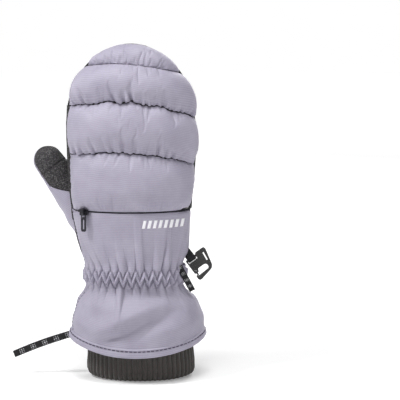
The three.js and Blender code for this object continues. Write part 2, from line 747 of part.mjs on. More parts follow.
// Webbing folded round the clip's bar, drawn from the side and extruded by its width.
function clipStrap(group) {
  const reach = 5;
  const inner = CLIP_BAR.r + 0.35;
  const outer = inner + 1;
  const side = new THREE.Shape();
  side.moveTo(outer, reach);
  side.lineTo(outer, 0);
  side.absarc(0, 0, outer, 0, -Math.PI, true);
  side.lineTo(-outer, reach);
  side.lineTo(-inner, reach);
  side.lineTo(-inner, 0);
  side.absarc(0, 0, inner, -Math.PI, 0, false);
  side.lineTo(inner, reach);
  const geometry = new THREE.ExtrudeGeometry(side, { depth: 8, bevelEnabled: false, curveSegments: 10 });
  // The outline's own axes turn to Y and Z, and its depth to X.
  geometry.rotateX(Math.PI / 2).rotateZ(Math.PI / 2);
  geometry.translate(CLIP_BAR.x - 4, 0, CLIP_BAR.z - 0.6);
  add("clip_strap", solid(geometry), RIBBON, group);
}

// ---------------------------------------------------------------- ribbons

// The wrist leash: one ribbon out and back, folded at the far end, seen edge on and extruded.
function leash() {
  const [gap, thick] = [0.7, 0.9];
  const side = new THREE.Shape();
  side.moveTo(0, -gap - thick);
  side.lineTo(LEASH_LENGTH - 2, -gap - thick);
  side.absarc(LEASH_LENGTH - 2, 0, gap + thick, -Math.PI / 2, Math.PI / 2, false);
  side.lineTo(0, gap + thick);
  side.lineTo(0, gap);
  side.lineTo(LEASH_LENGTH - 2, gap);
  side.absarc(LEASH_LENGTH - 2, 0, gap, Math.PI / 2, -Math.PI / 2, true);
  side.lineTo(0, -gap);
  const geometry = new THREE.ExtrudeGeometry(side, {
    depth: LEASH_WIDTH,
    bevelEnabled: false,
    curveSegments: 6,
  });
  geometry.translate(0, 0, -LEASH_WIDTH / 2).rotateZ(Math.PI).rotateY(-LEASH_TILT);
  geometry.translate(LEASH_ROOT.x, LEASH_ROOT.y, LEASH_ROOT.z);
  add("leash_loop", solid(geometry), RIBBON);
}

function sideLabel() {
  const shape = outline([
    [0, 0],
    [LABEL_WIDTH, 0],
    [LABEL_WIDTH, -LABEL_LENGTH],
    [0, -LABEL_LENGTH],
  ]);
  const group = new THREE.Group();
  group.position.copy(LABEL_TOP);
  group.rotation.y = -LABEL_TILT;
  mitten.add(group);
  add("side_label", prismXZ(shape, -0.5, 0.5), RIBBON, group);
}

// ---------------------------------------------------------------- assembly

backBaffles();
pocketPanel();
palmPanels();
thumbPanels();
waddingPieces();
innerBags();
pocketBag();
wristBand();
gauntlet();
knitCuff();
zipTapes();
zipStops();
const zip = onZip(-ZIP_HALF_ANGLE);
zipSlider(zip);
zipPuller(zip);
const clip = clipGroup();
clipFrame(clip);
clipGate(clip);
gatePin(clip);
clipStrap(clip);
leash();
sideLabel();

// The origin is under the middle of the object's bounding box, on the floor.
const footprint = new THREE.Box3().setFromObject(mitten, true).getCenter(new THREE.Vector3());
mitten.position.set(-footprint.x, -footprint.y, 0);

const part = new THREE.Group();
part.add(mitten);
export default part;
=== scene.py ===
"""Looks of the ski mitten. Lengths in this script are millimetres until a mesh is made."""
import math
import bpy
import numpy as np
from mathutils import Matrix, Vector, noise
from mathutils.bvhtree import BVHTree


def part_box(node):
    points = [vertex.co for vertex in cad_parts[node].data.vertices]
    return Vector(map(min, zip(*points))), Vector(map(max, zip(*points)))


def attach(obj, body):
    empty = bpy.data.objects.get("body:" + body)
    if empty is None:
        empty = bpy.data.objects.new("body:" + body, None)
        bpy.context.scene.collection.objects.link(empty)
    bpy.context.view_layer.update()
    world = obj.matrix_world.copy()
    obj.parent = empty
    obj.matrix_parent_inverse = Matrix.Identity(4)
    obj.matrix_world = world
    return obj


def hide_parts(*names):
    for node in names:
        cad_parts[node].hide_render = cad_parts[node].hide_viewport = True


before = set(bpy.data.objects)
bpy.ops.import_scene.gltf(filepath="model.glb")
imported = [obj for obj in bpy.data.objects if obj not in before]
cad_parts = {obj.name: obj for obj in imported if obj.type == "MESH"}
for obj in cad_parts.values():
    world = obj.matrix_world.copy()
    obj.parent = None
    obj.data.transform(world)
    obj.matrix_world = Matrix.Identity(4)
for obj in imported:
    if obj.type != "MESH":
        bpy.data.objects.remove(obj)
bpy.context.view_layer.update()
MM = 0.001

# The part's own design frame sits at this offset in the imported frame, in mm.
CUFF_LO, CUFF_HI = (np.array(c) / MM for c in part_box("knit_cuff"))
CUFF_X = 1.5                          # the cuff's middle in the design frame
SHIFT = np.array([(CUFF_LO[0] + CUFF_HI[0]) / 2 - CUFF_X, (CUFF_LO[1] + CUFF_HI[1]) / 2, 0.0])
MIDDLE = np.array([-6.0, 2.0, 0.0])   # an upright line through the middle of the hand

# ------------------------------------------------------------------ camera

FRAME_WIDTH = 352.0       # what the picture spans at the mitten
LENS = 120.0
SENSOR = 36.0
ELEVATION = math.radians(8)
AIM = np.array([54.6, -10.0, 160.5])


def linked(name, data):
    """A new object with this data, in the scene."""
    obj = bpy.data.objects.new(name, data)
    bpy.context.scene.collection.objects.link(obj)
    return obj


def add_camera():
    data = bpy.data.cameras.new("camera")
    data.lens = LENS
    data.sensor_width = SENSOR
    camera = linked("camera", data)
    distance = FRAME_WIDTH * LENS / SENSOR
    back = Vector((0, -math.cos(ELEVATION), math.sin(ELEVATION)))
    camera.location = Vector((AIM + SHIFT) * MM) + back * distance * MM
    camera.rotation_euler = back.to_track_quat("Z", "Y").to_euler()
    bpy.context.scene.camera = camera


add_camera()

# ------------------------------------------------------------------ small tools


def clouds(points, size, seed=0.0):
    """Smooth noise, about -1 to 1, with lumps of this size."""
    flat = points.reshape(-1, 3) / np.asarray(size) + seed * 7.31
    values = np.array([noise.noise(p) for p in flat])
    return values.reshape(points.shape[:-1])


def smooth(x, lo, hi):
    t = np.clip((x - lo) / (hi - lo), 0, 1)
    return t * t * (3 - 2 * t)


def lerp(a, b, t):
    return a + (b - a) * t


def hump(x, wide, power=2):
    """1 where x is 0, and falling away within about this width on both sides."""
    return np.exp(-np.abs(x / wide) ** power)


def column(count):
    """Even steps from 0 to 1, one for each row of a grid."""
    return np.linspace(0, 1, count)[:, None]


def row(count):
    """Even steps from 0 to 1, one for each column of a grid."""
    return np.linspace(0, 1, count)[None, :]


def unit(vectors):
    return vectors / np.linalg.norm(vectors, axis=-1, keepdims=True)


def normals(grid, closed=False):
    """Unit normals of a grid of points, rows by columns."""
    if closed:
        padded = np.concatenate([grid[:, -1:], grid, grid[:, :1]], axis=1)
        du = (padded[:, 2:] - padded[:, :-2]) / 2
    else:
        du = np.gradient(grid, axis=1)
    n = np.cross(du, np.gradient(grid, axis=0))
    length = np.linalg.norm(n, axis=-1, keepdims=True)
    return n / np.maximum(length, 1e-9)


def from_axis(points, axis):
    """Level arrows to the points from an upright axis."""
    return (points - axis) * [1, 1, 0]


def raised(grid, height, closed=False):
    """The grid moved out from the middle of the hand, along its normals."""
    n = normals(grid, closed)
    n = n if (n * from_axis(grid, MIDDLE)).sum() > 0 else -n
    return grid + n * np.asarray(height)[..., None]


def resample(path, step):
    along = np.concatenate([[0], np.cumsum(np.linalg.norm(np.diff(path, axis=0), axis=1))])
    count = max(2, int(round(along[-1] / step)) + 1)
    at = np.linspace(0, along[-1], count)
    return np.stack([np.interp(at, along, path[:, k]) for k in range(3)], axis=1)


# ------------------------------------------------------------------ meshes

UV_PER_MM = 0.01


def mesh_object(name, points, faces, material):
    mesh = bpy.data.meshes.new(name)
    mesh.from_pydata(((points.reshape(-1, 3) + SHIFT) * MM).tolist(), [], faces)
    mesh.materials.append(material)
    mesh.polygons.foreach_set("use_smooth", [True] * len(mesh.polygons))
    mesh.update()
    return linked(name, mesh)


def add_uv(obj, lengths):
    """Keeps where each face's corners lie on the cloth: pairs of lengths in mm."""
    layer = obj.data.uv_layers.new(name="cloth")
    layer.data.foreach_set("uv", (lengths * UV_PER_MM).ravel())


def thicken(obj, thick, offset=-1):
    solid = obj.modifiers.new("thickness", "SOLIDIFY")
    solid.thickness = thick * MM
    solid.offset = offset


def make_finer(obj):
    extra = obj.modifiers.new("finer", "SUBSURF")
    extra.levels = extra.render_levels = 1


def stands_for(obj, node, body="mitten"):
    """Puts the piece in a CAD node's place, on its body, and hides the node."""
    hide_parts(node)
    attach(obj, body)
    return obj


def quads(rows, cols, base=0):
    """The faces of a grid of points that starts at point number base."""
    corners = [base + r * cols + c for r in range(rows - 1) for c in range(cols - 1)]
    return [[a, a + 1, a + cols + 1, a + cols] for a in corners]


def grid_uv(grid, closed=False):
    """Lengths along the cloth in mm, across from the grid's middle and up from its first row."""
    wide = np.concatenate([grid, grid[:, :1]], axis=1) if closed else grid
    step_u = np.linalg.norm(np.diff(wide, axis=1), axis=-1)
    step_v = np.linalg.norm(np.diff(wide, axis=0), axis=-1)
    u = np.concatenate([np.zeros((len(wide), 1)), np.cumsum(step_u, axis=1)], axis=1)
    middle = wide.shape[1] // 2
    u -= u[:, [middle]]
    v = np.concatenate([[0], np.cumsum(step_v[:, middle])])
    return u, np.repeat(v[:, None], wide.shape[1], axis=1)


def grid_object(name, grid, material, closed=False, thick=0.8, rest=None, axis=MIDDLE):
    """A sheet of cloth from a grid of points, given a thickness inwards."""
    rows, cols = grid.shape[:2]
    flip = (normals(grid, closed) * from_axis(grid, axis)).sum() < 0
    faces, corners = [], []
    for r in range(rows - 1):
        for c in range(cols if closed else cols - 1):
            d = (c + 1) % cols
            quad = [(r, c, c), (r, d, c + 1), (r + 1, d, c + 1), (r + 1, c, c)]
            quad = quad[::-1] if flip else quad
            faces.append([a * cols + b for a, b, _ in quad])
            corners.extend((a, e) for a, _, e in quad)
    obj = mesh_object(name, grid, faces, material)
    u, v = grid_uv(grid if rest is None else rest, closed)
    down, across = np.array(corners).T
    add_uv(obj, np.stack([u[down, across], v[down, across]], axis=-1))
    thicken(obj, thick)
    return obj


def ring(centre, radius, side, other, sides):
    turns = [2 * math.pi * k / sides for k in range(sides)]
    return [centre + radius * (math.cos(a) * side + math.sin(a) * other) for a in turns]


def tube_faces(count, sides, base=0):
    """The faces round a row of rings and over both its ends."""
    faces = []
    for i in range(count - 1):
        low, high = base + i * sides, base + (i + 1) * sides
        for k in range(sides):
            m = (k + 1) % sides
            faces.append([low + k, low + m, high + m, high + k])
    faces.append([base + k for k in range(sides)][::-1])
    faces.append([base + (count - 1) * sides + k for k in range(sides)])
    return faces


def tube_object(name, path, radius, material, sides=8):
    """A round cord along a path."""
    tangents = unit(np.gradient(path, axis=0))
    side = np.cross(tangents[0], [0.31, 0.95, 0.12])
    verts = []
    for centre, tangent in zip(path, tangents):
        side = side - tangent * side.dot(tangent)
        side /= np.linalg.norm(side)
        verts += ring(centre, radius, side, np.cross(tangent, side), sides)
    return mesh_object(name, np.array(verts), tube_faces(len(path), sides), material)


def join(name, objects):
    for obj in bpy.context.selected_objects:
        obj.select_set(False)
    for obj in objects:
        obj.select_set(True)
    bpy.context.view_layer.objects.active = objects[0]
    bpy.ops.object.join()
    objects[0].name = name
    return objects[0]


STITCH_STEP, STITCH_GAP, STITCH_SIDES = 0.35, 1.0, 6
STITCH_ARCH, STITCH_SINK = 0.25, 0.2


def stitches(name, path, length=2.3, radius=0.24, axis=MIDDLE):
    """A row of sewn stitches along a path, each a short thread that dips at its ends."""
    line = resample(path, STITCH_STEP)
    away = unit(from_axis(line, axis))
    count = int(round(length / STITCH_STEP)) + 1
    skip = int(round((length + STITCH_GAP) / STITCH_STEP))
    verts, faces = [], []
    for start in range(0, len(line) - count + 1, skip):
        out = away[start:start + count]
        t = np.linspace(-1, 1, count)
        lift = STITCH_ARCH * (1 - t ** 4) - STITCH_SINK
        part = line[start:start + count] + out * lift[:, None]
        thick = radius * np.sqrt(np.clip(1.02 - t ** 6, 0, 1))
        faces += tube_faces(count, STITCH_SIDES, len(verts))
        for centre, tangent, up, r in zip(part, unit(np.gradient(part, axis=0)), out, thick):
            side = np.cross(tangent, up)
            side /= np.linalg.norm(side)
            verts += ring(centre, r, side, np.cross(side, tangent), STITCH_SIDES)
    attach(mesh_object(name, np.array(verts), faces, THREAD), "mitten")


# ------------------------------------------------------------------ materials


def srgb(r, g, b):
    def linear(c):
        c /= 255
        return c / 12.92 if c <= 0.04045 else ((c + 0.055) / 1.055) ** 2.4
    return (linear(r), linear(g), linear(b), 1)


class Nodes:
    """A material's node tree, with short calls to add and link nodes."""

    def __init__(self, name):
        self.material = bpy.data.materials.new(name)
        self.material.use_nodes = True
        self.tree = self.material.node_tree
        self.shader = self.tree.nodes["Principled BSDF"]
        self.place = self.add("ShaderNodeTexCoord").outputs["Object"]

    def add(self, kind, inputs=(), **values):
        node = self.tree.nodes.new(kind)
        for key, value in values.items():
            setattr(node, key, value)
        for key, value in dict(inputs).items():
            self.put(node.inputs[key], value)
        return node

    def put(self, socket, value):
        if isinstance(value, bpy.types.NodeSocket):
            self.tree.links.new(value, socket)
        else:
            socket.default_value = value

    def math(self, operation, a, b=0.0, c=0.0):
        node = self.add("ShaderNodeMath", operation=operation)
        for socket, value in zip(node.inputs, (a, b, c)):
            self.put(socket, value)
        return node.outputs[0]

    def times(self, a, b):
        return self.math("MULTIPLY", a, b)

    def mad(self, a, b, c):
        """a times b, plus c."""
        return self.math("MULTIPLY_ADD", a, b, c)

    def mix(self, factor, a, b):
        node = self.add("ShaderNodeMix", data_type="RGBA")
        self.put(node.inputs[0], factor)
        self.put(node.inputs[6], a)
        self.put(node.inputs[7], b)
        return node.outputs[2]

    def ramp(self, value, lo, hi):
        values = {"Value": value, "From Min": lo, "From Max": hi}
        return self.add("ShaderNodeMapRange", values).outputs[0]

    def noise(self, where, scale, detail=2.0, rough=0.5):
        values = {"Scale": scale, "Detail": detail, "Roughness": rough, "Vector": where}
        return self.add("ShaderNodeTexNoise", values).outputs["Fac"]

    def cloth(self):
        """(across, along) on the cloth, in mm."""
        uv = self.add("ShaderNodeUVMap", uv_map="cloth").outputs[0]
        parts = self.add("ShaderNodeSeparateXYZ", {"Vector": uv})
        return [self.times(part, 1 / UV_PER_MM) for part in parts.outputs[:2]]

    def wave(self, length, period, phase=0.0):
        """0 to 1 and back once in each period."""
        turned = self.mad(length, 2 * math.pi / period, phase)
        return self.mad(self.math("SINE", turned), 0.5, 0.5)

    def bump(self, height, strength, distance):
        node = self.add("ShaderNodeBump", {"Strength": strength, "Distance": distance * MM})
        self.put(node.inputs["Height"], height)
        self.put(self.shader.inputs["Normal"], node.outputs[0])

    def finish(self, color, roughness, **plain):
        self.put(self.shader.inputs["Base Color"], color)
        self.put(self.shader.inputs["Roughness"], roughness)
        for key, value in plain.items():
            self.shader.inputs[key.replace("_", " ")].default_value = value
        return self.material


def nylon_cloth(name, light, dark):
    """Fine ribbed nylon: faint ribs across, a finer weave, and soft mottling."""
    n = Nodes(name)
    across, along = n.cloth()
    wobble = n.noise(n.place, 90.0, 2.0)
    rib = n.wave(n.mad(wobble, 0.9, along), 1.55)
    warp = n.wave(across, 0.42)
    weft = n.wave(along, 0.42)
    weave = n.times(warp, weft)
    mottle = n.noise(n.place, 45.0, 4.0, 0.6)
    tone = n.mad(rib, 0.16, n.times(weave, 0.16))
    tone = n.mad(mottle, 0.5, tone)
    color = n.mix(n.ramp(tone, 0.15, 0.62), dark, light)
    height = n.mad(rib, 0.55, n.times(weave, 0.45))
    n.bump(height, 0.35, 0.12)
    rough = n.ramp(n.noise(n.place, 160.0, 3.0), 0.0, 1.6)
    rough = n.mad(rough, 0.2, 0.52)
    return n.finish(color, rough, Sheen_Weight=0.18, Sheen_Roughness=0.45,
                    Specular_IOR_Level=0.35)


def grip_cloth(name, base, glint_color):
    """Pebbled grip cloth with lighter specks, which are painted glints on the pebbles."""
    n = Nodes(name)
    pebble = n.add("ShaderNodeTexVoronoi", {"Scale": 900.0, "Vector": n.place}).outputs["Distance"]
    coarse = n.noise(n.place, 820.0, 2.0, 0.6)
    fleck = n.noise(n.place, 2100.0, 1.0, 0.5)
    glint = n.ramp(n.mad(fleck, 0.5, coarse), 0.74, 1.0)
    patch = n.noise(n.place, 22.0, 3.0)
    dark = n.mix(n.ramp(patch, 0.3, 0.7), tuple(0.6 * c for c in base[:3]) + (1,), base)
    # The lighter specks are painted highlights: glints on the pebbles.
    color = n.mix(n.times(glint, 0.8), dark, glint_color)
    height = n.mad(pebble, -1.0, n.times(coarse, 0.8))
    n.bump(height, 0.6, 0.4)
    rough = n.mad(glint, -0.25, 0.86)
    return n.finish(color, rough, Specular_IOR_Level=0.3)


def knit_cloth(name, base, light):
    """Rib knit: small stitches along each rib, and fuzz."""
    n = Nodes(name)
    across, along = n.cloth()
    slant = n.mad(n.wave(across, 1.56), 0.9, along)
    stitch = n.wave(slant, 1.15)
    fuzz = n.noise(n.place, 700.0, 4.0, 0.7)
    mottle = n.noise(n.place, 60.0, 3.0)
    tone = n.mad(stitch, 0.45, n.times(fuzz, 0.4))
    tone = n.mad(mottle, 0.3, tone)
    color = n.mix(n.ramp(tone, 0.1, 1.0), base, light)
    n.bump(n.mad(fuzz, 0.5, stitch), 0.55, 0.35)
    return n.finish(color, n.mad(fuzz, 0.1, 0.85), Sheen_Weight=0.25,
                    Sheen_Roughness=0.6, Specular_IOR_Level=0.2)


def ribbon_cloth(name, base, thread, period, band):
    """Black woven tape with an even pattern of light blocks and a ribbed weave."""
    n = Nodes(name)
    across, along = n.cloth()
    weave = n.times(n.wave(across, 0.34), n.wave(along, 0.5))
    blocks = n.ramp(n.wave(along, period), 0.62, 0.7)
    fine = n.ramp(n.wave(along, period / 5), 0.3, 0.5)
    inside = n.ramp(n.math("ABSOLUTE", across), band, band * 0.8)
    breaks = n.ramp(n.wave(across, band * 0.9, 1.2), 0.2, 0.4)
    mark = n.times(n.times(blocks, inside), n.times(fine, breaks))
    fuzz = n.noise(n.place, 900.0, 2.0)
    color = n.mix(n.times(mark, n.ramp(fuzz, 0.2, 0.6)), base, thread)
    n.bump(n.mad(mark, 0.6, weave), 0.6, 0.18)
    return n.finish(color, n.mad(fuzz, 0.15, 0.62), Specular_IOR_Level=0.35)


def soft_cloth(name, base, light, scale, depth):
    """Fleece, wadding, mesh and elastic: a mottled, fuzzy surface."""
    n = Nodes(name)
    fuzz = n.noise(n.place, scale, 5.0, 0.75)
    tuft = n.noise(n.place, scale * 0.25, 3.0)
    color = n.mix(n.ramp(n.mad(tuft, 0.6, fuzz), 0.5, 1.1), base, light)
    n.bump(fuzz, 0.7, depth)
    return n.finish(color, n.mad(fuzz, 0.1, 0.86), Specular_IOR_Level=0.2)


def moulded(name, base, scuff, rough, metal=0.0, grain=900.0):
    """Moulded plastic or plated metal with a fine grain and faint scuffs."""
    n = Nodes(name)
    fine = n.noise(n.place, grain, 3.0, 0.6)
    marks = n.ramp(n.noise(n.place, 120.0, 6.0, 0.75), 0.56, 0.75)
    color = n.mix(n.times(marks, 0.5), base, scuff)
    n.bump(fine, 0.25, 0.05)
    rough_at = n.mad(marks, 0.12, n.mad(fine, 0.12, rough))
    return n.finish(color, rough_at, Metallic=metal)


def printed(name, color):
    """A heat-pressed print with a fine sparkle and slightly worn areas."""
    n = Nodes(name)
    grain = n.noise(n.place, 1500.0, 2.0)
    wear = n.ramp(n.noise(n.place, 260.0, 4.0, 0.7), 0.25, 0.4)
    base = n.mix(wear, srgb(206, 203, 212), color)
    n.bump(grain, 0.3, 0.05)
    return n.finish(base, n.mad(grain, 0.2, 0.35))


SHELL = nylon_cloth("shell_nylon", srgb(176, 171, 187), srgb(144, 139, 157))
GRIP = grip_cloth("grip", srgb(50, 48, 50), srgb(112, 110, 111))
KNIT = knit_cloth("knit", srgb(42, 39, 38), srgb(86, 81, 78))
WADDING = soft_cloth("wadding", srgb(226, 225, 222), srgb(246, 245, 243), 260.0, 0.6)
MEMBRANE = soft_cloth("membrane", srgb(205, 214, 220), srgb(228, 234, 238), 90.0, 0.1)
FLEECE = soft_cloth("fleece", srgb(52, 50, 56), srgb(86, 83, 92), 420.0, 0.8)
MESH = soft_cloth("mesh", srgb(96, 92, 104), srgb(128, 123, 138), 800.0, 0.3)
ELASTIC = soft_cloth("elastic", srgb(216, 214, 210), srgb(238, 236, 232), 600.0, 0.3)
TAPE = soft_cloth("zip_tape", srgb(34, 32, 38), srgb(58, 55, 64), 900.0, 0.2)
RIBBON = ribbon_cloth("ribbon", srgb(24, 23, 26), srgb(206, 206, 210), 11.0, 2.1)
LABEL = ribbon_cloth("label_ribbon", srgb(22, 21, 24), srgb(226, 226, 228), 6.2, 1.9)
WEBBING = ribbon_cloth("webbing", srgb(26, 25, 28), srgb(44, 43, 47), 2.0, 3.4)
THREAD = soft_cloth("thread", srgb(52, 44, 62), srgb(76, 68, 88), 1600.0, 0.1)
# Dark cord for seams: thread, and painted shade in the seams' grooves.
DARK_THREAD_AND_SEAM_SHADE = soft_cloth("dark_thread_and_seam_shade", srgb(30, 28, 30), srgb(58, 55, 58), 1600.0, 0.1)
PLASTIC = moulded("clip_plastic", srgb(22, 21, 23), srgb(58, 56, 58), 0.2)
COIL = moulded("zip_coil", srgb(40, 38, 44), srgb(70, 67, 76), 0.4)
METAL = moulded("plated_metal", srgb(56, 55, 60), srgb(120, 118, 124), 0.3, metal=0.85)
PRINT = printed("print", srgb(242, 241, 245))

# ------------------------------------------------------------------ the hand's shape

STATIONS = np.array([
    # z, x, half width, depth of the back, depth of the palm
    [70, -3.3, 41.1, 24.5, 21.5],
    [101, -3.3, 41.1, 25.0, 22.0],
    [112, -4.0, 45.4, 26.5, 23.0],
    [125, -5.2, 49.5, 28.0, 24.0],
    [150, -6.7, 52.9, 29.0, 25.0],
    [187, -6.0, 55.6, 29.0, 25.0],
    [228, -6.2, 56.4, 28.5, 24.5],
    [260, -6.2, 56.4, 28.5, 24.5],
])
WRIST_LOW, WRIST_MIDDLE, WRIST_HIGH = 84.0, 92.5, 101.0
DOME_Z, APEX_Z = 228.0, 296.0         # the rounded top starts and ends here
DOME_X, DOME_HALF = STATIONS[-1, 1:3]
DOME_BACK, DOME_PALM = STATIONS[-1, 3:5]
CURL = 7.0                            # how far the fingertips lean towards the palm
BACK_OVAL, PALM_OVAL = (55, 29), (55, 24)


def smoothed_stations():
    z = np.arange(60, 262, 1.0)
    reach = np.arange(-18, 19)
    weight = hump(reach, 6.0)
    weight /= weight.sum()
    columns = []
    for k in range(1, 5):
        raw = np.interp(z, STATIONS[:, 0], STATIONS[:, k])
        padded = np.pad(raw, len(reach) // 2, mode="edge")
        columns.append(np.convolve(padded, weight, mode="valid"))
    return z, columns


TABLE_Z, TABLE = smoothed_stations()


def dome_share(z):
    """0 where the rounded top starts, 1 at its highest point."""
    return (z - DOME_Z) / (APEX_Z - DOME_Z)


def hand(z):
    """Middle x, half width, depth of the back and of the palm, and curl at a height."""
    z = np.asarray(z, float)
    x, half, back, palm = (np.interp(z, TABLE_Z, numbers) for numbers in TABLE)
    t = np.clip(dome_share(z), 0, 1)
    half = half * np.sqrt(np.clip(1 - t ** 2, 0, 1))
    depth = np.sqrt(np.clip(1 - t ** 3, 0, 1))
    curl = CURL * np.clip((z - WRIST_HIGH) / (APEX_Z - WRIST_HIGH), 0, 1) ** 2
    return x, half, back * depth, palm * depth, curl


def oval_point(oval, angle, z, out=0.0):
    """A point on an oval that is deeper at the back or the palm, at an angle and height."""
    x, half, back, palm = oval
    c, s = np.cos(angle), np.sin(angle)
    deep = np.where(s < 0, back, palm)
    return np.stack([x + (half + out) * c, (deep + out) * s, z + 0 * c], axis=-1)


def hand_point(angle, z, out=0.0):
    """A point on the hand. Angle 0 is at the little finger's side, 90 degrees on the palm."""
    *oval, curl = hand(z)
    point = oval_point(oval, angle, z, out)
    point[..., 1] += curl
    return point


def even_angles(start, end, count, half, depth):
    """Angles from start to end that step evenly along an oval's edge."""
    fine = np.linspace(start, end, 1500)
    step = np.hypot(half * np.sin(fine), depth * np.cos(fine))
    along = np.concatenate([[0], np.cumsum((step[1:] + step[:-1]) / 2 * np.diff(fine))])
    return np.interp(np.linspace(0, along[-1], count), along, fine)


def whole_turn(count, half, depth):
    """Even angles once round an oval, in a row, without the last that meets the first."""
    return even_angles(0, 2 * math.pi, count + 1, half, depth)[None, :-1]


# ------------------------------------------------------------------ gathers round the wrist

FOLDS = 29
WRIST_HALF, WRIST_DEPTH = 41.1, 23.5
FINE_ANGLES = np.linspace(0, 2 * math.pi, 2881)
WRIST_STEP = np.hypot(WRIST_HALF * np.sin(FINE_ANGLES), WRIST_DEPTH * np.cos(FINE_ANGLES))
WRIST_ALONG = np.concatenate([[0], np.cumsum((WRIST_STEP[1:] + WRIST_STEP[:-1]) / 2)])
WRIST_ALONG /= WRIST_ALONG[-1]
ZIGZAG_REACH = 5.6
LONG_UP, LONG_DOWN = 25.0, 16.0       # how far the gathers run from the elastic
GATHER, ELASTIC_GATHER, PALM_GATHER = 4.1, 0.6, 2.6


def fold_phase(angle):
    """Turns counted over the gathers: whole numbers are the tops of the zigzag."""
    turn = np.mod(angle, 2 * math.pi)
    return FOLDS * np.interp(turn, FINE_ANGLES, WRIST_ALONG)


def per_fold(phase, seed, offset=0.5):
    """A number from 0 to 1 for each fold, blended between neighbours."""
    values = np.random.default_rng(seed).random(FOLDS)
    k = np.mod(phase - offset, FOLDS)
    low = np.floor(k).astype(int) % FOLDS
    t = smooth(k - np.floor(k), 0.25, 0.75)
    return lerp(values[low], values[(low + 1) % FOLDS], t)


def pillow(phase):
    """0 in the crease at whole numbers, 1 halfway."""
    return np.abs(np.sin(math.pi * phase)) ** 0.46


def zigzag_line(phase):
    """Height of the zigzag that parts the upper from the lower gathers."""
    t = np.mod(phase, 1.0)
    return WRIST_MIDDLE + ZIGZAG_REACH * (4 * np.abs(t - 0.5) - 1)


def wrist_relief(angle, z, above=LONG_UP, zigzag=True):
    """Height of the gathers at a place round the wrist, and above and below it."""
    phase = fold_phase(angle)
    rise = np.maximum(z - WRIST_MIDDLE, 0)
    fall = np.maximum(WRIST_MIDDLE - z, 0)
    long_up = above * (0.26 + 0.85 * per_fold(phase, 5) ** 1.6)
    fan = 0.02 * rise * (np.cos(angle) + per_fold(phase, 21) - 0.5)
    upper = pillow(phase - fan) * hump(np.maximum(rise - 6, 0), long_up, 1.5)
    if not zigzag:
        return PALM_GATHER * upper
    long_down = LONG_DOWN * (0.22 + 0.95 * per_fold(phase, 11, 0.0) ** 2.6)
    spread = 0.02 * fall * (per_fold(phase, 23, 0.0) - 0.5)
    lower = pillow(phase + 0.5 + spread) * hump(np.maximum(fall - 6, 0), long_down, 1.5)
    line = zigzag_line(phase)
    height = GATHER + ELASTIC_GATHER * hump(z - WRIST_MIDDLE, 9)
    level = height * lerp(lower, upper, smooth(z - line, -1.6, 1.6))
    uneven = 0.55 + 0.9 * per_fold(phase, 31)
    level = level * lerp(1.0, uneven, smooth(np.maximum(rise, fall), 6, 14))
    near = np.abs(z - line) * 0.33
    ridge = 2.4 * hump(near, 1.0, 2.4) - 1.9 * hump(near - 1.7, 0.5)
    inside = smooth(z, WRIST_LOW + 0.5, WRIST_LOW + 3)
    inside = inside * smooth(-z, -WRIST_HIGH + 0.5, -WRIST_HIGH + 3)
    return level - 0.8 * hump(z - WRIST_MIDDLE, 20) + ridge * inside


# ------------------------------------------------------------------ quilted back

SIM_SCALE = 10.0  # the cloth is simulated ten times larger, where the solver works best
SIM_FRAMES = 20
SIM_REACH = 6.0   # the furthest that a point may move
STIFF, BEND, GROW = 12.0, 0.6, 0.05


def seam_line(z, drop=0.0, slope=0.0, wave=0.0, seed=0):
    """A function that gives a seam's height over s, -1 at the thumb's side to 1 at the other."""
    def height(s):
        ripple = 0.0
        if wave:
            line = np.stack([s * 55, 0 * s + seed * 13.7, 0 * s], axis=-1)
            ripple = wave * clouds(line, 7.5, seed) + 0.5 * wave * clouds(line, 3.4, seed + 3)
            ripple = ripple * np.clip(1.25 - s * s, 0, 1)
        return z - drop * s * s - slope * s + ripple
    return height


ZIP_Z = 151.4
OVER_ZIP = seam_line(ZIP_Z + 0.55)
HAND_SEAM = seam_line(203.0, 6.0, 4.0, 1.3, 2)
KNUCKLE_SEAM = seam_line(247.0, 9.0, 5.0, 1.7, 4)
TIP_SEAM = seam_line(280.0, 4.5, 3.0, 0.4, 6)


def side_ahead(z, side):
    """How far in front of the widest line the side seam lies. Side -1 is the thumb's."""
    t = np.clip(dome_share(z), 0, 1)
    if side < 0:
        ahead = 4.9 * (1 - smooth(z, 232, 262))
    else:
        ahead = lerp(3.4, -0.6, smooth(z, 152, 190))
    return ahead * np.sqrt(1 - t ** 2)


def side_angle(z, side):
    back = hand(z)[2]
    return np.arcsin(np.clip(side_ahead(z, side) / np.maximum(back, 4), -0.9, 0.9))


def across_back(base, z, inset=0.0):
    """Base, from 0 to pi, fitted between the side seam at the thumb's side and the other."""
    start = math.pi + side_angle(z, -1) + inset
    end = 2 * math.pi - side_angle(z, 1) - inset
    return lerp(start, end, base / math.pi)


def dome_polar(x, z):
    """A place on the rounded top, as seen from the front: distance and angle from its foot."""
    px, pz = (x - DOME_X) / DOME_HALF, dome_share(z)
    return np.hypot(px, pz), np.arctan2(pz, px)


def dome_place(rho, alpha, deep):
    """The point at that place, on the palm, or on the back where deep is negative."""
    x = rho * np.cos(alpha)
    t = np.clip(rho * np.sin(alpha), 0, 1)
    depth = deep * np.sqrt(np.clip(1 - rho ** 2, 0, 1)) * np.sqrt((1 + t + t * t) / (1 + t))
    height = DOME_Z + t * (APEX_Z - DOME_Z)
    return np.stack([DOME_X + DOME_HALF * x, hand(height)[4] + depth, height], axis=-1)


def back_rows(low, high, cols, rows):
    """A grid over the back between two lines, with its shares up and across."""
    base = even_angles(0, math.pi, cols, *BACK_OVAL)
    s = -np.cos(base)[None, :]
    z = lerp(low(s), high(s), column(rows))
    return hand_point(across_back(base, z), z), column(rows), row(cols)


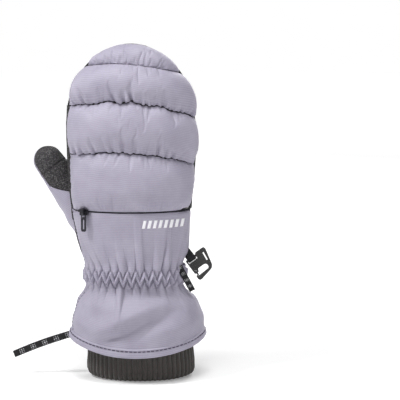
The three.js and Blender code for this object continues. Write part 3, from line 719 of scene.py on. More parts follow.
def tip_rows(low, cols, rows):
    """The grid of the tip baffle, from the tip seam up and over to the side seam's arc."""
    base = even_angles(0, math.pi, cols, *BACK_OVAL)[1:-1]
    z = low(-np.cos(base))
    seam = hand_point(across_back(base, z), z)
    rho, alpha = dome_polar(seam[:, 0], seam[:, 2])
    phi = lerp(np.arcsin(np.clip(rho, 0, 0.9995)), math.pi / 2, column(rows))
    at = lerp(alpha, lerp(alpha[0], alpha[-1], row(len(alpha))), column(rows))
    return dome_place(np.sin(phi), at, -DOME_BACK), column(rows), row(len(alpha))


def simulate(grid, pressure):
    """The grid as cloth held round its edge and blown up from inside."""
    rows, cols = grid.shape[:2]
    faces = quads(rows, cols)
    if (normals(grid) * from_axis(grid, MIDDLE)).sum() < 0:
        faces = [face[::-1] for face in faces]
    mesh = bpy.data.meshes.new("cloth_sim")
    mesh.from_pydata((grid.reshape(-1, 3) * MM * SIM_SCALE).tolist(), [], faces)
    obj = linked("cloth_sim", mesh)
    held = obj.vertex_groups.new(name="held")
    edge = [r * cols + c for r in range(rows) for c in range(cols)
            if r in (0, rows - 1) or c in (0, cols - 1)]
    held.add(edge, 1.0, "REPLACE")
    cloth = obj.modifiers.new("cloth", "CLOTH")
    settings = cloth.settings
    settings.quality = 6
    settings.mass = 0.15
    settings.tension_stiffness = STIFF
    settings.compression_stiffness = STIFF
    settings.shear_stiffness = STIFF * 0.4
    settings.bending_stiffness = BEND
    settings.air_damping = 3.0
    settings.use_pressure = True
    settings.uniform_pressure_force = pressure
    settings.shrink_min = settings.shrink_max = -GROW
    settings.vertex_group_mass = "held"
    settings.effector_weights.gravity = 0
    cloth.collision_settings.use_collision = False
    cloth.point_cache.frame_start = 1
    cloth.point_cache.frame_end = SIM_FRAMES
    scene = bpy.context.scene
    for frame_number in range(1, SIM_FRAMES + 1):
        scene.frame_set(frame_number)
    moved = obj.evaluated_get(bpy.context.evaluated_depsgraph_get()).data
    flat = np.empty(rows * cols * 3)
    moved.vertices.foreach_get("co", flat)
    bpy.data.objects.remove(obj)
    bpy.data.meshes.remove(mesh)
    scene.frame_set(1)
    return flat.reshape(rows, cols, 3) / (MM * SIM_SCALE)


def capped(moved, start):
    """moved, with no point further than SIM_REACH from where it started."""
    step = moved - start
    size = np.linalg.norm(step, axis=-1, keepdims=True)
    return start + step * np.minimum(1, SIM_REACH / np.maximum(size, 1e-9))


def puff_profile(v):
    """The bulge between two seams, fuller towards the lower one."""
    return np.sin(math.pi * np.clip(v, 0, 1) ** 0.86) ** 0.7


def puckers(grid, seed, spacing, deep, low=True, long=6.0):
    """Short sharp creases that run into the baffle from one of its seams."""
    rng = np.random.default_rng(seed)
    u, rise = grid_uv(grid)
    far = rise if low else rise[-1:] - rise
    height = np.zeros_like(u)
    at = u.min() + 5.0
    while at < u.max() - 5.0:
        wide = 0.75 + 0.9 * rng.random()
        reach = long * (0.35 + 1.1 * rng.random() ** 2)
        lean = 0.5 * (rng.random() - 0.5)
        depth = deep * (0.35 + 0.65 * rng.random()) * hump(far, reach, 1.6)
        across = (u - at - lean * far) / (wide * (0.7 + 0.6 * np.minimum(far / reach, 1)))
        height -= depth * hump(across, 1)
        height += 0.45 * depth * hump(np.abs(across) - 2.1, 1)
        at += spacing * (0.55 + 0.9 * rng.random())
    return height


def baffle(name, node, rows, puff, seed, low_deep, high_deep, droop, pressure=5.0):
    """A quilted baffle: pre-shaped, gathered at its seams, then blown up as cloth."""
    grid, v, u = rows
    side = np.clip(np.minimum(u / 0.10, (1 - u) / 0.075), 0, 1) ** 0.6
    edge = np.clip(np.minimum(v, 1 - v) / 0.03, 0, 1) * side
    gather = clouds(grid, (7.0, 30.0, 26.0), seed) * (0.9 * np.exp(-v * 5) + 0.5 * np.exp(-(1 - v) * 7))
    creases = puckers(grid, seed, 7.5, low_deep)
    creases = creases + puckers(grid, seed + 50, 11.0, high_deep, low=False, long=3.5)
    bulge = puff * puff_profile(v) * side
    start = raised(grid, bulge + (gather + 0.45 * creases) * edge - 1.3)
    moved = capped(simulate(start, pressure), start)
    moved = raised(moved, 0.75 * np.maximum(creases, -2.2) * edge)
    rise = grid_uv(grid)[1]
    if name == "hand_baffle":  # a bed for the slider at the zip's little finger end
        moved = raised(moved, -1.7 * hump(rise, 4.0) * smooth(u, 0.87, 0.94))
    scallop = 0.5 + 0.5 * clouds(grid, (5.5, 60, 60), seed + 7)
    moved[..., 2] -= droop * hump(rise - 2.6, 2.4) * scallop * edge
    obj = grid_object(name, moved, SHELL, rest=grid)
    make_finer(obj)
    stands_for(obj, node)


def quilted_back():
    spans = [
        # name, CAD node, seams below and above, rows, puff, seed, creases below and above, droop
        ("hand_baffle", "back_hand_baffle", OVER_ZIP, HAND_SEAM, 52, 4.6, 31, 0.4, 1.0, 0.0),
        ("knuckle_baffle", "back_knuckle_baffle", HAND_SEAM, KNUCKLE_SEAM, 48, 6.4, 32, 2.6, 0.8, 3.4),
        ("finger_baffle", "back_finger_baffle", KNUCKLE_SEAM, TIP_SEAM, 38, 6.6, 33, 3.8, 0.3, 3.4),
    ]
    for name, node, low, high, rows, *looks in spans:
        baffle(name, node, back_rows(low, high, 160, rows), *looks)
    baffle("tip_baffle", "back_tip_baffle", tip_rows(TIP_SEAM, 150, 26), 3.6, 34, 0.9, 0.4, 0.8,
           pressure=4.0)


def quilt_lines():
    """Cords in the quilting seams, dark ones as painted shade in their grooves, and the end of the zip's
    tape.
    """
    cords = []
    base = even_angles(0, math.pi, 240, *BACK_OVAL)
    # The dark cords in the hand and knuckle seams are painted shade: they darken the grooves under the
    # overhanging baffles. The tip seam's cord is shell-coloured.
    for height, radius, material in [(HAND_SEAM, 0.8, DARK_THREAD_AND_SEAM_SHADE), (KNUCKLE_SEAM, 0.95, DARK_THREAD_AND_SEAM_SHADE),
                                     (TIP_SEAM, 0.4, SHELL)]:
        z = height(-np.cos(base))
        path = hand_point(across_back(base, z, 0.03), z, -1.35)
        cords.append(tube_object("quilt_line", path, radius, material))
    angle = np.radians(np.linspace(330, 374, 50))
    cords.append(tube_object("zip_end_line", hand_point(angle, ZIP_Z, -0.9), 0.9, TAPE))
    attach(join("quilt_lines", cords), "mitten")


quilted_back()
quilt_lines()

# ------------------------------------------------------------------ pocket panel and palm

PALM_TOP, GRIP_TOP = 152.4, 142.0     # where the palm meets the side seams


def little_side_limit(z):
    """Angle on the palm where the dark grip starts at the little finger's side."""
    return np.radians(np.interp(z, [88, 108, 117, 140, 151.2, PALM_TOP], [52, 42, 33, 22, 14, -6]))


def thumb_side_limit(z):
    """Angle on the palm where the dark grip ends at the thumb's side."""
    return np.radians(np.interp(z, [88, 99, 110, 122, 134, GRIP_TOP], [129, 129, 135, 143.4, 156, 186]))


def pocket_panel():
    v = column(70)
    z = lerp(WRIST_HIGH - 0.2, ZIP_Z - 0.45, v)
    start = math.pi + side_angle(z, -1) * smooth(z, 101, 120)
    end = 2 * math.pi + little_side_limit(z)
    base = even_angles(math.pi, 2.12 * math.pi, 420, 50, 28)[None, :]
    share = (base - math.pi) / (1.12 * math.pi)
    angle = lerp(start, end, share)
    grid = hand_point(angle, z)
    soft = 0.9 * clouds(grid, (26, 40, 20), 41) * smooth(1 - v, 0.12, 0.5)
    beside_clip = np.exp(-(((grid - [47.0, 0.0, 104.0]) / [30.0, 10.0, 9.0]) ** 2).sum(axis=-1))
    height = (wrist_relief(angle, z) + soft) * (1 - 0.85 * beside_clip) - 0.5 * beside_clip
    edges = hump(1 - v, 0.035) + hump(share, 0.012) + hump(1 - share, 0.012)
    obj = grid_object("pocket_front", raised(grid, height - 0.9 * edges + 0.2), SHELL)
    return stands_for(obj, "pocket_panel")


def over_thumb_root(grid):
    """How far the cloth stands out over the root of the thumb, at the wrist."""
    bump = hump(grid[..., 0] + 25, 11) * hump(grid[..., 2] - 105.5, 8.5)
    return 6.2 * bump * (grid[..., 1] > 0)


def cap_seam(x):
    """Height of the seam of the fingertip cap over x."""
    s = (x - DOME_X) / 35.3
    return 280.6 - 17.2 * s * s - 2.5 * s


def dome_palm(first):
    """Rows from the top of the palm's straight part up to the fingertip cap's seam."""
    v = column(50)
    x = DOME_X + (first[:, 0] - DOME_X) * 0.985
    rho, alpha = dome_polar(lerp(first[:, 0], x, v), lerp(first[:, 2], cap_seam(x), v))
    grid = dome_place(np.minimum(rho, 0.9995), alpha, DOME_PALM)
    # The outermost part bends round to where the back begins.
    share, z = row(len(x)), grid[..., 2]
    ahead = np.where(share < 0.5, side_ahead(z, 1), side_ahead(z, -1))
    bend = smooth(np.abs(2 * share - 1), 0.93, 1.0)
    grid[..., 1] = lerp(grid[..., 1], hand(z)[4] - ahead, bend)
    return lerp(first[None], grid, smooth(v, 0.0, 0.12)[..., None])


def palm_panel():
    """From the straight hem at the wrist to a line that turns into the fingertip cap's seam."""
    rows, cols = 150, 190
    z = lerp(89.0, DOME_Z, column(rows))
    low = np.where(z > PALM_TOP, -side_angle(z, 1), little_side_limit(z))
    high = np.where(z > GRIP_TOP, math.pi + side_angle(z, -1), thumb_side_limit(z))
    angle = lerp(low, high, even_angles(0, math.pi, cols, *PALM_OVAL) / math.pi)
    lower = hand_point(angle, z)
    grid = np.concatenate([lower, dome_palm(lower[-1])[1:]], axis=0)
    angle = np.concatenate([angle, np.repeat(angle[-1:], len(grid) - rows, axis=0)], axis=0)
    heights, share = grid[..., 2], row(cols)
    lip = 0.9 * smooth(np.minimum(share, 1 - share), 0.0, 0.02) - 0.5
    lip = lip * smooth(heights, 120, 160) + 0.5
    over_band = 0.9 * smooth(-heights, -104, -99)
    soft = 1.0 * clouds(grid, (30, 40, 34), 51) + 0.35 * clouds(grid, (9, 12, 12), 52)
    gathers = wrist_relief(angle, np.maximum(heights, WRIST_MIDDLE), above=20, zigzag=False)
    grid = raised(grid, lip + over_band + over_thumb_root(grid) + soft + gathers)
    rows_to_seam = np.arange(len(grid))[::-1, None]
    grid = raised(grid, -0.9 * hump(rows_to_seam, 1.2))
    stands_for(grid_object("palm_front", grid, GRIP), "palm_panel")


def fingertip_cap():
    """Dark cloth over the fingertips, from its seam to the side seam's arc."""
    cols, v = 190, column(26)
    x = DOME_X - 55.55 * np.cos(np.linspace(0, math.pi, cols))
    rho, alpha = dome_polar(x, cap_seam(x))
    phi = lerp(np.arcsin(np.minimum(rho, 0.9995)), math.pi / 2, v)
    grid = dome_place(np.sin(phi), alpha, DOME_PALM)
    height = grid[..., 2]
    ahead = np.where(grid[..., 0] > DOME_X, side_ahead(height, 1), side_ahead(height, -1)) + 0.5
    grid[..., 1] = lerp(grid[..., 1], hand(height)[4] - ahead, smooth(v, 0.7, 1.0))
    soft = 0.5 * clouds(grid, (14, 20, 14), 61)
    tuck = -1.1 * hump(v, 0.06) - 0.7 * hump(1 - v, 0.04)
    sides = smooth(1 - np.abs(2 * row(cols) - 1), 0.0, 0.05)
    middle = np.stack([0 * height + DOME_X, hand(height)[4], 0 * height + DOME_Z], axis=-1)
    away = unit((grid - middle) / [DOME_HALF, DOME_PALM, APEX_Z - DOME_Z])
    grid = grid + away * ((0.9 + soft + tuck) * (0.3 + 0.7 * sides))[..., None]
    stands_for(grid_object("fingertip_front", grid, GRIP), "fingertip_cap")


def side_binding():
    """The folded dark edge between the back and the palm, up one side and down the other."""
    up = np.linspace(112, DOME_Z, 120)
    over = DOME_Z + (APEX_Z - DOME_Z) * np.sin(np.linspace(0, math.pi / 2, 60)[1:])
    z = np.concatenate([up, over])
    left = hand_point(math.pi + side_angle(z, -1), z, -0.9)
    right = hand_point(2 * math.pi - side_angle(z, 1), z, -0.9)
    for half in (left, right):
        half[:, 1] += 1.3 * smooth(z, 232, 262)
    path = resample(np.concatenate([left, right[::-1][1:]]), 1.5)
    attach(tube_object("side_binding", path, 1.0, GRIP, sides=10), "mitten")


POCKET = pocket_panel()
palm_panel()
fingertip_cap()
side_binding()

# ------------------------------------------------------------------ thumb

THUMB_ROOT = np.array([-21.0, 6.0, 109.0])
THUMB_END = np.array([-81.0, 15.0, 193.0])
THUMB_LENGTH = np.linalg.norm(THUMB_END - THUMB_ROOT)
THUMB_AXIS = (THUMB_END - THUMB_ROOT) / THUMB_LENGTH
THUMB_IN = unit(np.array([THUMB_AXIS[2], 0, -THUMB_AXIS[0]]))
THUMB_PALM = np.cross(THUMB_AXIS, THUMB_IN)
THUMB_TIP_R = 12.5
THUMB_PATCH = THUMB_LENGTH + THUMB_TIP_R - 20.0      # where the patch on its tip starts


def on_thumb_axis(along):
    return THUMB_ROOT + THUMB_AXIS * along[..., None]


def thumb_point(turn, along):
    """A point on the thumb. Turn 0 faces the fingers, 90 degrees the palm."""
    t = np.clip(along / THUMB_LENGTH, 0, 1)
    wide = lerp(21.0, THUMB_TIP_R, t)
    deep = lerp(15.5, 11.6, smooth(t, 0.35, 1.0))
    over = np.clip((along - THUMB_LENGTH) / THUMB_TIP_R, 0, 1)
    shrink = np.sqrt(np.clip(1 - over ** 2, 0, 1)) * lerp(0.8, 1.0, smooth(along, 0, 16))
    return (on_thumb_axis(along) + THUMB_IN * (wide * shrink * np.cos(turn))[..., None]
            + THUMB_PALM * (deep * shrink * np.sin(turn))[..., None])


def thumb_rows(rows):
    """Steps along the thumb, closer together round its tip."""
    stem = np.linspace(0, THUMB_LENGTH, rows - 16)
    tip = THUMB_LENGTH + THUMB_TIP_R * np.sin(np.linspace(0, math.pi / 2, 17)[1:])
    return np.concatenate([stem, tip])


def back_limit(along):
    """The turn where the light gusset ends on the thumb's back."""
    return np.radians(np.interp(along, [0, 69, 78, 84, 95, 104, 113], [284, 276, 240, 218, 203, 205, 200]))


def palm_limit(along):
    """The turn where the light gusset starts on the thumb's palm side."""
    return np.radians(np.interp(along, [0, 24, 50, 70, 90, 104, 113], [112, 126, 138, 148, 155, 163, 172]))


def palm_limit_again(along):
    return palm_limit(along) + 2 * math.pi


def face_away(obj, axis):
    """Turns the faces round if they look at the axis."""
    mesh = obj.data
    inner = Vector((np.mean(axis.reshape(-1, 3), axis=0) + SHIFT) * MM)
    if sum((p.center - inner).dot(p.normal) * p.area for p in mesh.polygons) < 0:
        mesh.flip_normals()


def thumb_piece(name, node, slot, material, start, end, along, seed, cols):
    along, share = along[:, None], row(cols)
    grid = thumb_point(lerp(start(along), end(along), share), along + 0 * share)
    axis = on_thumb_axis(along)
    height = 0.5 + 0.55 * clouds(grid, (12, 16, 22), seed) + 0.2 * clouds(grid, 6, seed + 1)
    height = height - 0.8 * hump(share, 0.02) - 0.8 * hump(1 - share, 0.02)
    if slot == "shell":
        height = height + 1.1 * clouds(grid, (7, 12, 30), seed + 2) * smooth(90 - along, 0, 50)
    n = normals(grid)
    away = n if ((grid - axis) * n).sum() > 0 else -n
    grid = grid + away * height[..., None]
    grid[-1] = THUMB_ROOT + THUMB_AXIS * (THUMB_LENGTH + THUMB_TIP_R + 0.4)
    obj = grid_object(name, grid, material, axis=THUMB_ROOT + THUMB_AXIS * 60)
    face_away(obj, axis)
    return stands_for(obj, node)


def gusset_base():
    """The part of the gusset that lies on the hand, between the palm and the pocket."""
    z = lerp(100.4, 152, column(60))
    angle = lerp(thumb_side_limit(z) - 0.06, math.pi + side_angle(z, -1) + 0.10, row(90))
    grid = hand_point(angle, z)
    relief = wrist_relief(angle, z) + 0.8 * clouds(grid, (10, 16, 22), 73)
    return grid_object("gusset_base", raised(grid, relief + over_thumb_root(grid) - 0.25), SHELL)


def thumb():
    along = thumb_rows(90)
    base = gusset_base()
    gusset = thumb_piece("thumb_gusset", "thumb_back", "shell", SHELL, palm_limit, back_limit, along, 71, 90)
    face = np.append(along[along < THUMB_PATCH - 0.5], THUMB_PATCH + 0.6)
    patch = np.append(THUMB_PATCH + 0.1, along[along > THUMB_PATCH + 1])
    for name, node, part, seed in [("thumb_face", "thumb_grip", face, 75),
                                   ("thumb_tip", "thumb_tip_cap", patch, 77)]:
        thumb_piece(name, node, "grip", GRIP, back_limit, palm_limit_again, part, seed, 110)
    turn = np.radians(np.linspace(70, 150, 60))
    at = THUMB_PATCH + 0.15 + 0 * turn
    path = thumb_point(turn, at)
    path = path + (path - on_thumb_axis(at)) * 0.06
    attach(tube_object("thumb_tip_seam", path, 0.5, DARK_THREAD_AND_SEAM_SHADE), "mitten")
    join("thumb_gusset", [gusset, base])


thumb()

# ------------------------------------------------------------------ wrist and gauntlet

SKIRT = np.array([
    # v, x, half width, back, palm
    [0, -3.3, 41.1, 25, 22],
    [0.3, -2, 49.5, 31, 28.5],
    [0.6, -1.2, 54.6, 36, 33.5],
    [0.87, -0.9, 59.4, 39, 37],
    [1, -1.4, 60.9, 40, 38],
])
HEM_SIDE_Z, HEM_DROP, HEM_V = 38.0, 13.0, 0.87
HEM_OVAL = (60, 39)
THUMB_SEAM, LITTLE_SEAM = math.pi + 0.21, 0.22       # angles of the gauntlet's side seams


def wrist_band():
    angle = whole_turn(FOLDS * 24, WRIST_HALF, WRIST_DEPTH)
    z = lerp(WRIST_LOW - 0.8, WRIST_HIGH + 0.8, column(46))
    turn = np.degrees(angle)
    under_palm = smooth(turn, 38, 50) * smooth(-turn, -133, -125) * smooth(z, 88.6, 89.6)
    relief = lerp(wrist_relief(angle, z), -1.7, under_palm)
    grid = raised(hand_point(angle, z), relief + 0.12, closed=True)
    stands_for(grid_object("wrist_casing", grid, SHELL, closed=True), "wrist_band")


def skirt_point(angle, v, out=0.0):
    """A point on the gauntlet, from v = 0 at the wrist to 1 at the hem's edge."""
    oval = [np.interp(v, SKIRT[:, 0], SKIRT[:, k]) for k in range(1, 5)]
    hem = HEM_SIDE_Z - HEM_DROP * np.abs(np.sin(angle)) ** 1.5
    return oval_point(oval, angle, lerp(WRIST_LOW, hem, v), out)


def skirt_relief(angle, v, grid, seed):
    """Gathers, soft lumps and one long slanting fold across the back."""
    broad = 1.7 * clouds(grid, (34, 30, 24), seed) + 0.8 * clouds(grid, (13, 16, 22), seed + 1)
    x, z = grid[..., 0] + 34, grid[..., 2] - 37
    off, along = x * 0.466 - z * 0.885, x * 0.885 + z * 0.466
    fold = 4.6 * hump(off + 7, 7.5) - 4.4 * hump(off - 6, 7.5)
    fold = fold * smooth(along, -12, 14) * smooth(-along, -82, -50) * (grid[..., 1] < 0)
    broad = (broad + fold) * smooth(v, 0.08, 0.45) * (1 - 0.5 * smooth(v, 0.7, 0.87))
    belly = 3.2 * smooth(v, 0.05, 0.35) * (1 - smooth(v, 0.62, 0.87))
    return wrist_relief(angle, grid[..., 2]) + broad + belly + 0.2


def gauntlet_panel(name, node, start, end, seed):
    cols = 360
    angle = even_angles(start, end, cols, 55, 36)[None, :]
    v = lerp(0.0, HEM_V + 0.01, column(74))
    grid = skirt_point(angle, v)
    seams = hump(row(cols), 0.006) + hump(1 - row(cols), 0.006)
    height = np.maximum(skirt_relief(angle, v, grid, seed), -0.2)
    obj = grid_object(name, raised(grid, height - seams), SHELL, thick=0.6)
    return stands_for(obj, node)


def hem_band():
    angle = whole_turn(420, *HEM_OVAL)
    # The band's section: up the outside from its fold, from the hem edge round to the inside.
    profile = np.array([
        (HEM_V - 0.012, -0.2), (HEM_V, 0.75), (HEM_V + 0.012, 1.05), (0.89, 1.0), (0.90, 0.75),
        (0.91, 1.0), (0.94, 1.3), (0.975, 1.35), (0.995, 1.0), (1.005, 0.2), (1.0, -0.7),
        (0.97, -1.2), (0.93, -1.3), (0.88, -1.3)])
    v, out = profile[:, :1], profile[:, 1:]
    base = skirt_point(angle, v)
    wave = 0.7 * clouds(base, (34, 30, 24), 81) + 0.25 * clouds(base, (6, 8, 8), 83)
    obj = grid_object("hem_fold", skirt_point(angle, v, out + wave), SHELL, closed=True, thick=0.5)
    make_finer(obj)
    stands_for(obj, "hem_band")
    fine = even_angles(0, 2 * math.pi, 1400, *HEM_OVAL)
    wave = 0.7 * clouds(skirt_point(fine, 0.9), (34, 30, 24), 81)
    stitches("hem_stitches", skirt_point(fine, 0.9, 1.05 + wave), length=3.0, radius=0.36,
             axis=np.array([-1.4, 0, 0]))


wrist_band()
FRONT = gauntlet_panel("gauntlet_front", "gauntlet_back", THUMB_SEAM, 2 * math.pi + LITTLE_SEAM, 91)
REAR = gauntlet_panel("gauntlet_rear", "gauntlet_palm", LITTLE_SEAM, THUMB_SEAM, 93)
hem_band()

# ------------------------------------------------------------------ knitted cuff

RIBS = 54
CUFF = np.array([
    # z, x, half width, back, palm
    [0, 1.5, 49.3, 28, 28],
    [27, 1, 47.7, 27.5, 27.5],
    [60, -1.5, 41, 23, 22],
    [86, -3.3, 36.4, 20.4, 17.4],
])


def knit_cuff():
    """Up from the outside, round the rim and up the inside, with ribs all round."""
    cols = RIBS * 10
    angle = whole_turn(cols, 48, 28)
    outer_z = np.concatenate([np.linspace(64, 6, 40), np.linspace(5, 1.6, 5)])
    outer_in = np.interp(outer_z, [0, 1.5, 5, 12], [2.6, 1.7, 0.4, 0.0])
    turn = np.linspace(0, math.pi, 9)[1:-1]
    inner_z = np.concatenate([np.linspace(2.0, 6, 5), np.linspace(8, 84, 38)])
    z = np.concatenate([outer_z, 1.6 - 1.1 * np.sin(turn), inner_z])[:, None]
    inset = np.concatenate([outer_in, 1.9 + 0.65 * (1 - np.cos(turn)), 0 * inner_z + 3.4])[:, None]
    ribbed = np.concatenate([0 * outer_z + 1, 0 * turn + 0.8, 0 * inner_z + 0.35])[:, None]
    oval = [np.interp(z, CUFF[:, 0], CUFF[:, k]) for k in range(1, 5)]
    rib = np.abs(np.sin(math.pi * RIBS * np.arange(cols) / cols)) ** 0.7
    base = oval_point(oval, angle, z, -inset)
    drift = 0.5 * clouds(base, (30, 30, 14), 95)
    grid = raised(base, 1.6 * (rib - 1) * ribbed + drift * smooth(z, 2, 12), closed=True)
    # The rim is a little higher at the sides, as a soft rim is.
    grid[..., 2] += 2.4 * np.cos(angle) ** 4 * smooth(30 - z, 0, 30)
    grid[..., 2] = np.maximum(grid[..., 2], 0.02)
    obj = grid_object("storm_cuff", grid, KNIT, closed=True, thick=0.5)
    stands_for(obj, "knit_cuff")


knit_cuff()

# ------------------------------------------------------------------ straps, label and leash


def strip(name, path, across, width, thick, material, body, node):
    """A flat ribbon along a path, with rounded edges."""
    path = resample(path, 0.5)
    rows, cols = len(path), 9
    sideways = np.linspace(-0.5, 0.5, cols) * width
    grid = path[:, None, :] + across * sideways[None, :, None]
    faces = quads(rows, cols)
    obj = mesh_object(name, grid, faces, material)
    along = np.arange(rows) * np.linalg.norm(path[1] - path[0])
    down, over = np.divmod(np.array(faces).ravel(), cols)
    add_uv(obj, np.stack([sideways[over], along[down]], axis=-1))
    thicken(obj, thick, offset=0)
    bevel = obj.modifiers.new("rounded", "BEVEL")
    bevel.width = 0.25 * thick * MM
    bevel.segments = 2
    stands_for(obj, node, body)


def bowed(start, along, t, depth):
    """Points at lengths t from a start, shifted front to back by these depths."""
    return start + along * t[:, None] + np.stack([0 * t, depth, 0 * t], axis=1)


def leash():
    tilt = math.radians(20)
    along = np.array([-math.cos(tilt), 0, -math.sin(tilt)])
    across = np.array([math.sin(tilt), 0, -math.cos(tilt)])
    length, gap = 53.5, 1.05
    out = np.linspace(0, length, 60)
    turn = np.linspace(-math.pi / 2, math.pi / 2, 12)[1:-1]
    t = np.concatenate([out, length + gap * np.cos(turn), out[::-1]])
    y = np.concatenate([0 * out - gap, gap * np.sin(turn), 0 * out + gap])
    path = bowed([-61.6, 0.0, 37.6], along, t, y * lerp(0.55, 1.0, smooth(t, 0, 14)))
    path = path - across * (0.9 * np.sin(math.pi * t / length))[:, None]
    strip("leash_ribbon", path, across, 5.8, 0.8, RIBBON, "leash", "leash_loop")


def side_label():
    tilt = math.radians(28)
    along = np.array([math.sin(tilt), 0, -math.cos(tilt)])
    across = np.array([math.cos(tilt), 0, math.sin(tilt)])
    length = 25
    t = np.linspace(0, length, 60)
    curl = -0.9 * np.sin(math.pi * t / length) - 0.5 * (t / length) ** 2
    top = np.array([33.8, -12.2, 100.5]) + across * 2.75
    strip("woven_label", bowed(top, along, t, curl), across, 5.4, 0.7, LABEL, "side_label", "side_label")


def clip_webbing():
    """Webbing from inside the wrist, down round the clip's bar and up again."""
    tilt = math.atan2(0.593, 0.805)
    across = np.array([math.cos(tilt), 0, math.sin(tilt)])
    up = np.array([-math.sin(tilt), 0, math.cos(tilt)])
    bar, radius = [47.0326, 0.0, 106.3008], 2.05
    turn = np.linspace(math.pi, 0, 16)
    rise = np.linspace(0, 10.5, 22)[1:]
    side = radius * (1 - 0.72 * smooth(rise, 0.5, 8.0))
    y = np.concatenate([-side[::-1], radius * np.cos(turn), side])
    z = np.concatenate([rise[::-1], -radius * np.sin(turn), rise])
    strip("clip_webbing", bowed(bar, up, z, y), across, 7.6, 0.8, WEBBING, "mitten", "clip_strap")


leash()
side_label()
clip_webbing()

# ------------------------------------------------------------------ seams, stitches and print


def surface(piece):
    """A function that finds where a ray first meets the piece, and the normal there."""
    mesh = piece.data
    verts = [v.co / MM - Vector(SHIFT) for v in mesh.vertices]
    tree = BVHTree.FromPolygons(verts, [tuple(p.vertices) for p in mesh.polygons])

    def cast(start, direction):
        point, normal = tree.ray_cast(Vector(start), Vector(direction).normalized())[:2]
        if point is None:
            return None
        normal = normal if normal.dot(Vector(direction)) < 0 else -normal
        return np.array(point), np.array(normal)
    return cast


def laid_on(piece, points, axis):
    """The points moved in towards an upright axis, onto the piece from outside."""
    cast = surface(piece)
    hits = [cast(point + away * 12, -away) for point, away in zip(points, unit(from_axis(points, axis)))]
    return np.array([hit[0] for hit in hits if hit])


def thumb_side_seam_shade():
    """A dark cord down the edge of the pocket panel, as painted shade in the seam's groove, with stitches
    beside it.
    """
    z = np.linspace(150.5, 105, 90)
    edge = math.pi + side_angle(z, -1) * smooth(z, 101, 120)
    path = hand_point(edge - 0.01, z, wrist_relief(edge, z) - 0.5)
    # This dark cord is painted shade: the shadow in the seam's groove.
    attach(tube_object("thumb_side_seam_shade", path, 0.6, DARK_THREAD_AND_SEAM_SHADE), "mitten")
    beside = hand_point(edge + 0.085, z)
    stitches("thumb_side_stitches", laid_on(POCKET, beside, [-6, 0, 0]))


def gauntlet_seams():
    v = np.linspace(0.14, HEM_V - 0.015, 120)
    for name, piece, angle in [
            ("thumb", FRONT, THUMB_SEAM + 0.06), ("little", FRONT, 2 * math.pi + LITTLE_SEAM - 0.06),
            ("rear_thumb", REAR, THUMB_SEAM - 0.06), ("rear_little", REAR, LITTLE_SEAM + 0.06)]:
        stitches("gauntlet_stitches_" + name, laid_on(piece, skirt_point(angle, v), [-1, 0, 0]))


def front_print():
    """A plain row of slanted bars, pressed onto the pocket."""
    bars, pitch, wide, high, slant = 8, 4.7, 2.7, 7.0, 1.6
    left, bottom = 4.0, 137.8
    cast = surface(POCKET)
    verts, faces = [], []
    for k in range(bars):
        faces += quads(7, 4, len(verts))
        for v in np.linspace(0, 1, 7):
            for u in np.linspace(0, 1, 4):
                x = left + pitch * k + wide * u + slant * v
                point, normal = cast((x, -300, bottom + high * v), (0, 1, 0))
                verts.append(point + normal * 0.16)
    obj = mesh_object("front_print", np.array(verts), faces, PRINT)
    thicken(obj, 0.12, offset=0)
    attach(obj, "mitten")


thumb_side_seam_shade()
gauntlet_seams()
front_print()

# ------------------------------------------------------------------ carried-over pieces

KEPT = {
    "palm_wadding": WADDING, "pocket_wadding": WADDING, "back_hand_wadding": WADDING,
    "back_knuckle_wadding": WADDING, "back_finger_wadding": WADDING, "back_tip_wadding": WADDING,
    "thumb_wadding": WADDING, "waterproof_membrane": MEMBRANE, "pocket_bag": MESH,
    "upper_elastic": ELASTIC, "lower_elastic": ELASTIC, "gauntlet_lining": MESH,
    "zip_tape_upper": TAPE, "zip_tape_lower": TAPE, "zip_coil": COIL,
    "zip_stop_thumb_side": METAL, "zip_stop_little_side": METAL, "zip_slider": METAL,
    "zip_puller": METAL, "clip_hook": PLASTIC, "clip_gate": PLASTIC, "gate_pin": METAL,
    "fleece_lining": FLEECE,
}
BEVELS = {"clip_hook": 0.35, "clip_gate": 0.15, "zip_slider": 0.25, "zip_puller": 0.2}
THUMB_THINNER, THINNER = 2.2, 1.8     # how far the wadding lies inside its CAD surface
ROOT_LIFT, ROOT_Z, ROOT_SPAN = 15, 126, 20


def displaced(obj, name, strength):
    shift = obj.modifiers.new(name, "DISPLACE")
    shift.strength = strength * MM
    shift.mid_level = 0.0
    return shift


def lift_root(obj):
    """Ends the thumb wadding's root higher, well under the palm panel's edge."""
    root = obj.vertex_groups.new(name="root")
    for vertex in obj.data.vertices:
        z = (obj.matrix_world @ vertex.co).z / MM
        root.add([vertex.index], min(1.0, max(0.0, (ROOT_Z - z) / ROOT_SPAN)), "REPLACE")
    lift = displaced(obj, "lifted", ROOT_LIFT)
    lift.direction = "Z"
    lift.vertex_group = "root"


def round_edges(obj, width):
    bevel = obj.modifiers.new("rounded", "BEVEL")
    bevel.width = width * MM
    bevel.segments = 3
    bevel.limit_method = "ANGLE"
    bevel.angle_limit = math.radians(35)


for node, material in KEPT.items():
    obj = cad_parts[node]
    for k in range(len(obj.material_slots)):
        obj.material_slots[k].material = material
    if node.endswith("wadding"):
        displaced(obj, "thinner", -THUMB_THINNER if node == "thumb_wadding" else -THINNER)
    if node == "thumb_wadding":
        lift_root(obj)
    if node in BEVELS:
        round_edges(obj, BEVELS[node])

# ------------------------------------------------------------------ floor and light

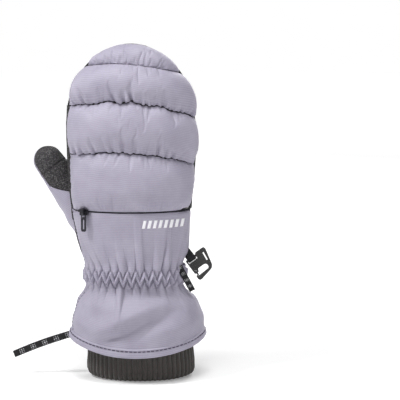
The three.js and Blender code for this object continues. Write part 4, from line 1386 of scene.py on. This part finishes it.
FLOOR_HALF = 6.0                      # metres, as all sizes below
LIGHTS = [
    # name, place, size, power, height of what it points at
    ("key", (-0.85, -0.42, 1.2), 0.3, 13.0, 0.22), ("top", (0.1, -0.34, 1.1), 0.5, 7.0, 0.26),
    ("fill", (1.3, -1.2, 0.9), 0.9, 1.8, 0.24), ("rear", (0.6, 1.3, 0.9), 0.8, 11.0, 0.2),
]


def add_floor():
    """A pale floor that glows a little more further off, so that its edge can't be seen."""
    mesh = bpy.data.meshes.new("floor")
    corners = [(x * FLOOR_HALF, y * FLOOR_HALF, 0) for x, y in [(-1, -1), (1, -1), (1, 1), (-1, 1)]]
    mesh.from_pydata(corners, [], [(0, 1, 2, 3)])
    n = Nodes("floor")
    shade = n.ramp(n.noise(n.place, 1.2, 2.0), 0.2, 0.8)
    away = n.add("ShaderNodeVectorMath", {0: n.place}, operation="LENGTH").outputs["Value"]
    n.put(n.shader.inputs["Emission Color"], (1, 1, 1, 1))
    n.put(n.shader.inputs["Emission Strength"], n.mad(n.ramp(away, 0.15, 2.2), 0.66, 0.22))
    color = n.mix(shade, (0.9, 0.9, 0.91, 1), (0.93, 0.93, 0.93, 1))
    mesh.materials.append(n.finish(color, 0.9))
    linked("floor", mesh)


def add_world():
    """A white background that lights the mitten only a little."""
    world = bpy.data.worlds.new("studio")
    world.use_nodes = True
    tree = world.node_tree
    background = tree.nodes["Background"]
    seen = tree.nodes.new("ShaderNodeLightPath").outputs["Is Camera Ray"]
    strength = tree.nodes.new("ShaderNodeMapRange")
    strength.inputs["To Min"].default_value = 0.13
    strength.inputs["To Max"].default_value = 1.0
    tree.links.new(seen, strength.inputs["Value"])
    tree.links.new(strength.outputs[0], background.inputs["Strength"])
    background.inputs["Color"].default_value = (1, 1, 1, 1)
    bpy.context.scene.world = world


def add_lights():
    for name, place, size, power, height in LIGHTS:
        data = bpy.data.lights.new(name, "AREA")
        data.size = size
        data.energy = power
        light = linked(name, data)
        light.location = place
        towards = Vector((0.0, 0.0, height)) - Vector(place)
        light.rotation_euler = towards.to_track_quat("-Z", "Y").to_euler()


add_floor()
add_world()
add_lights()
bpy.context.scene.view_settings.view_transform = "Standard"
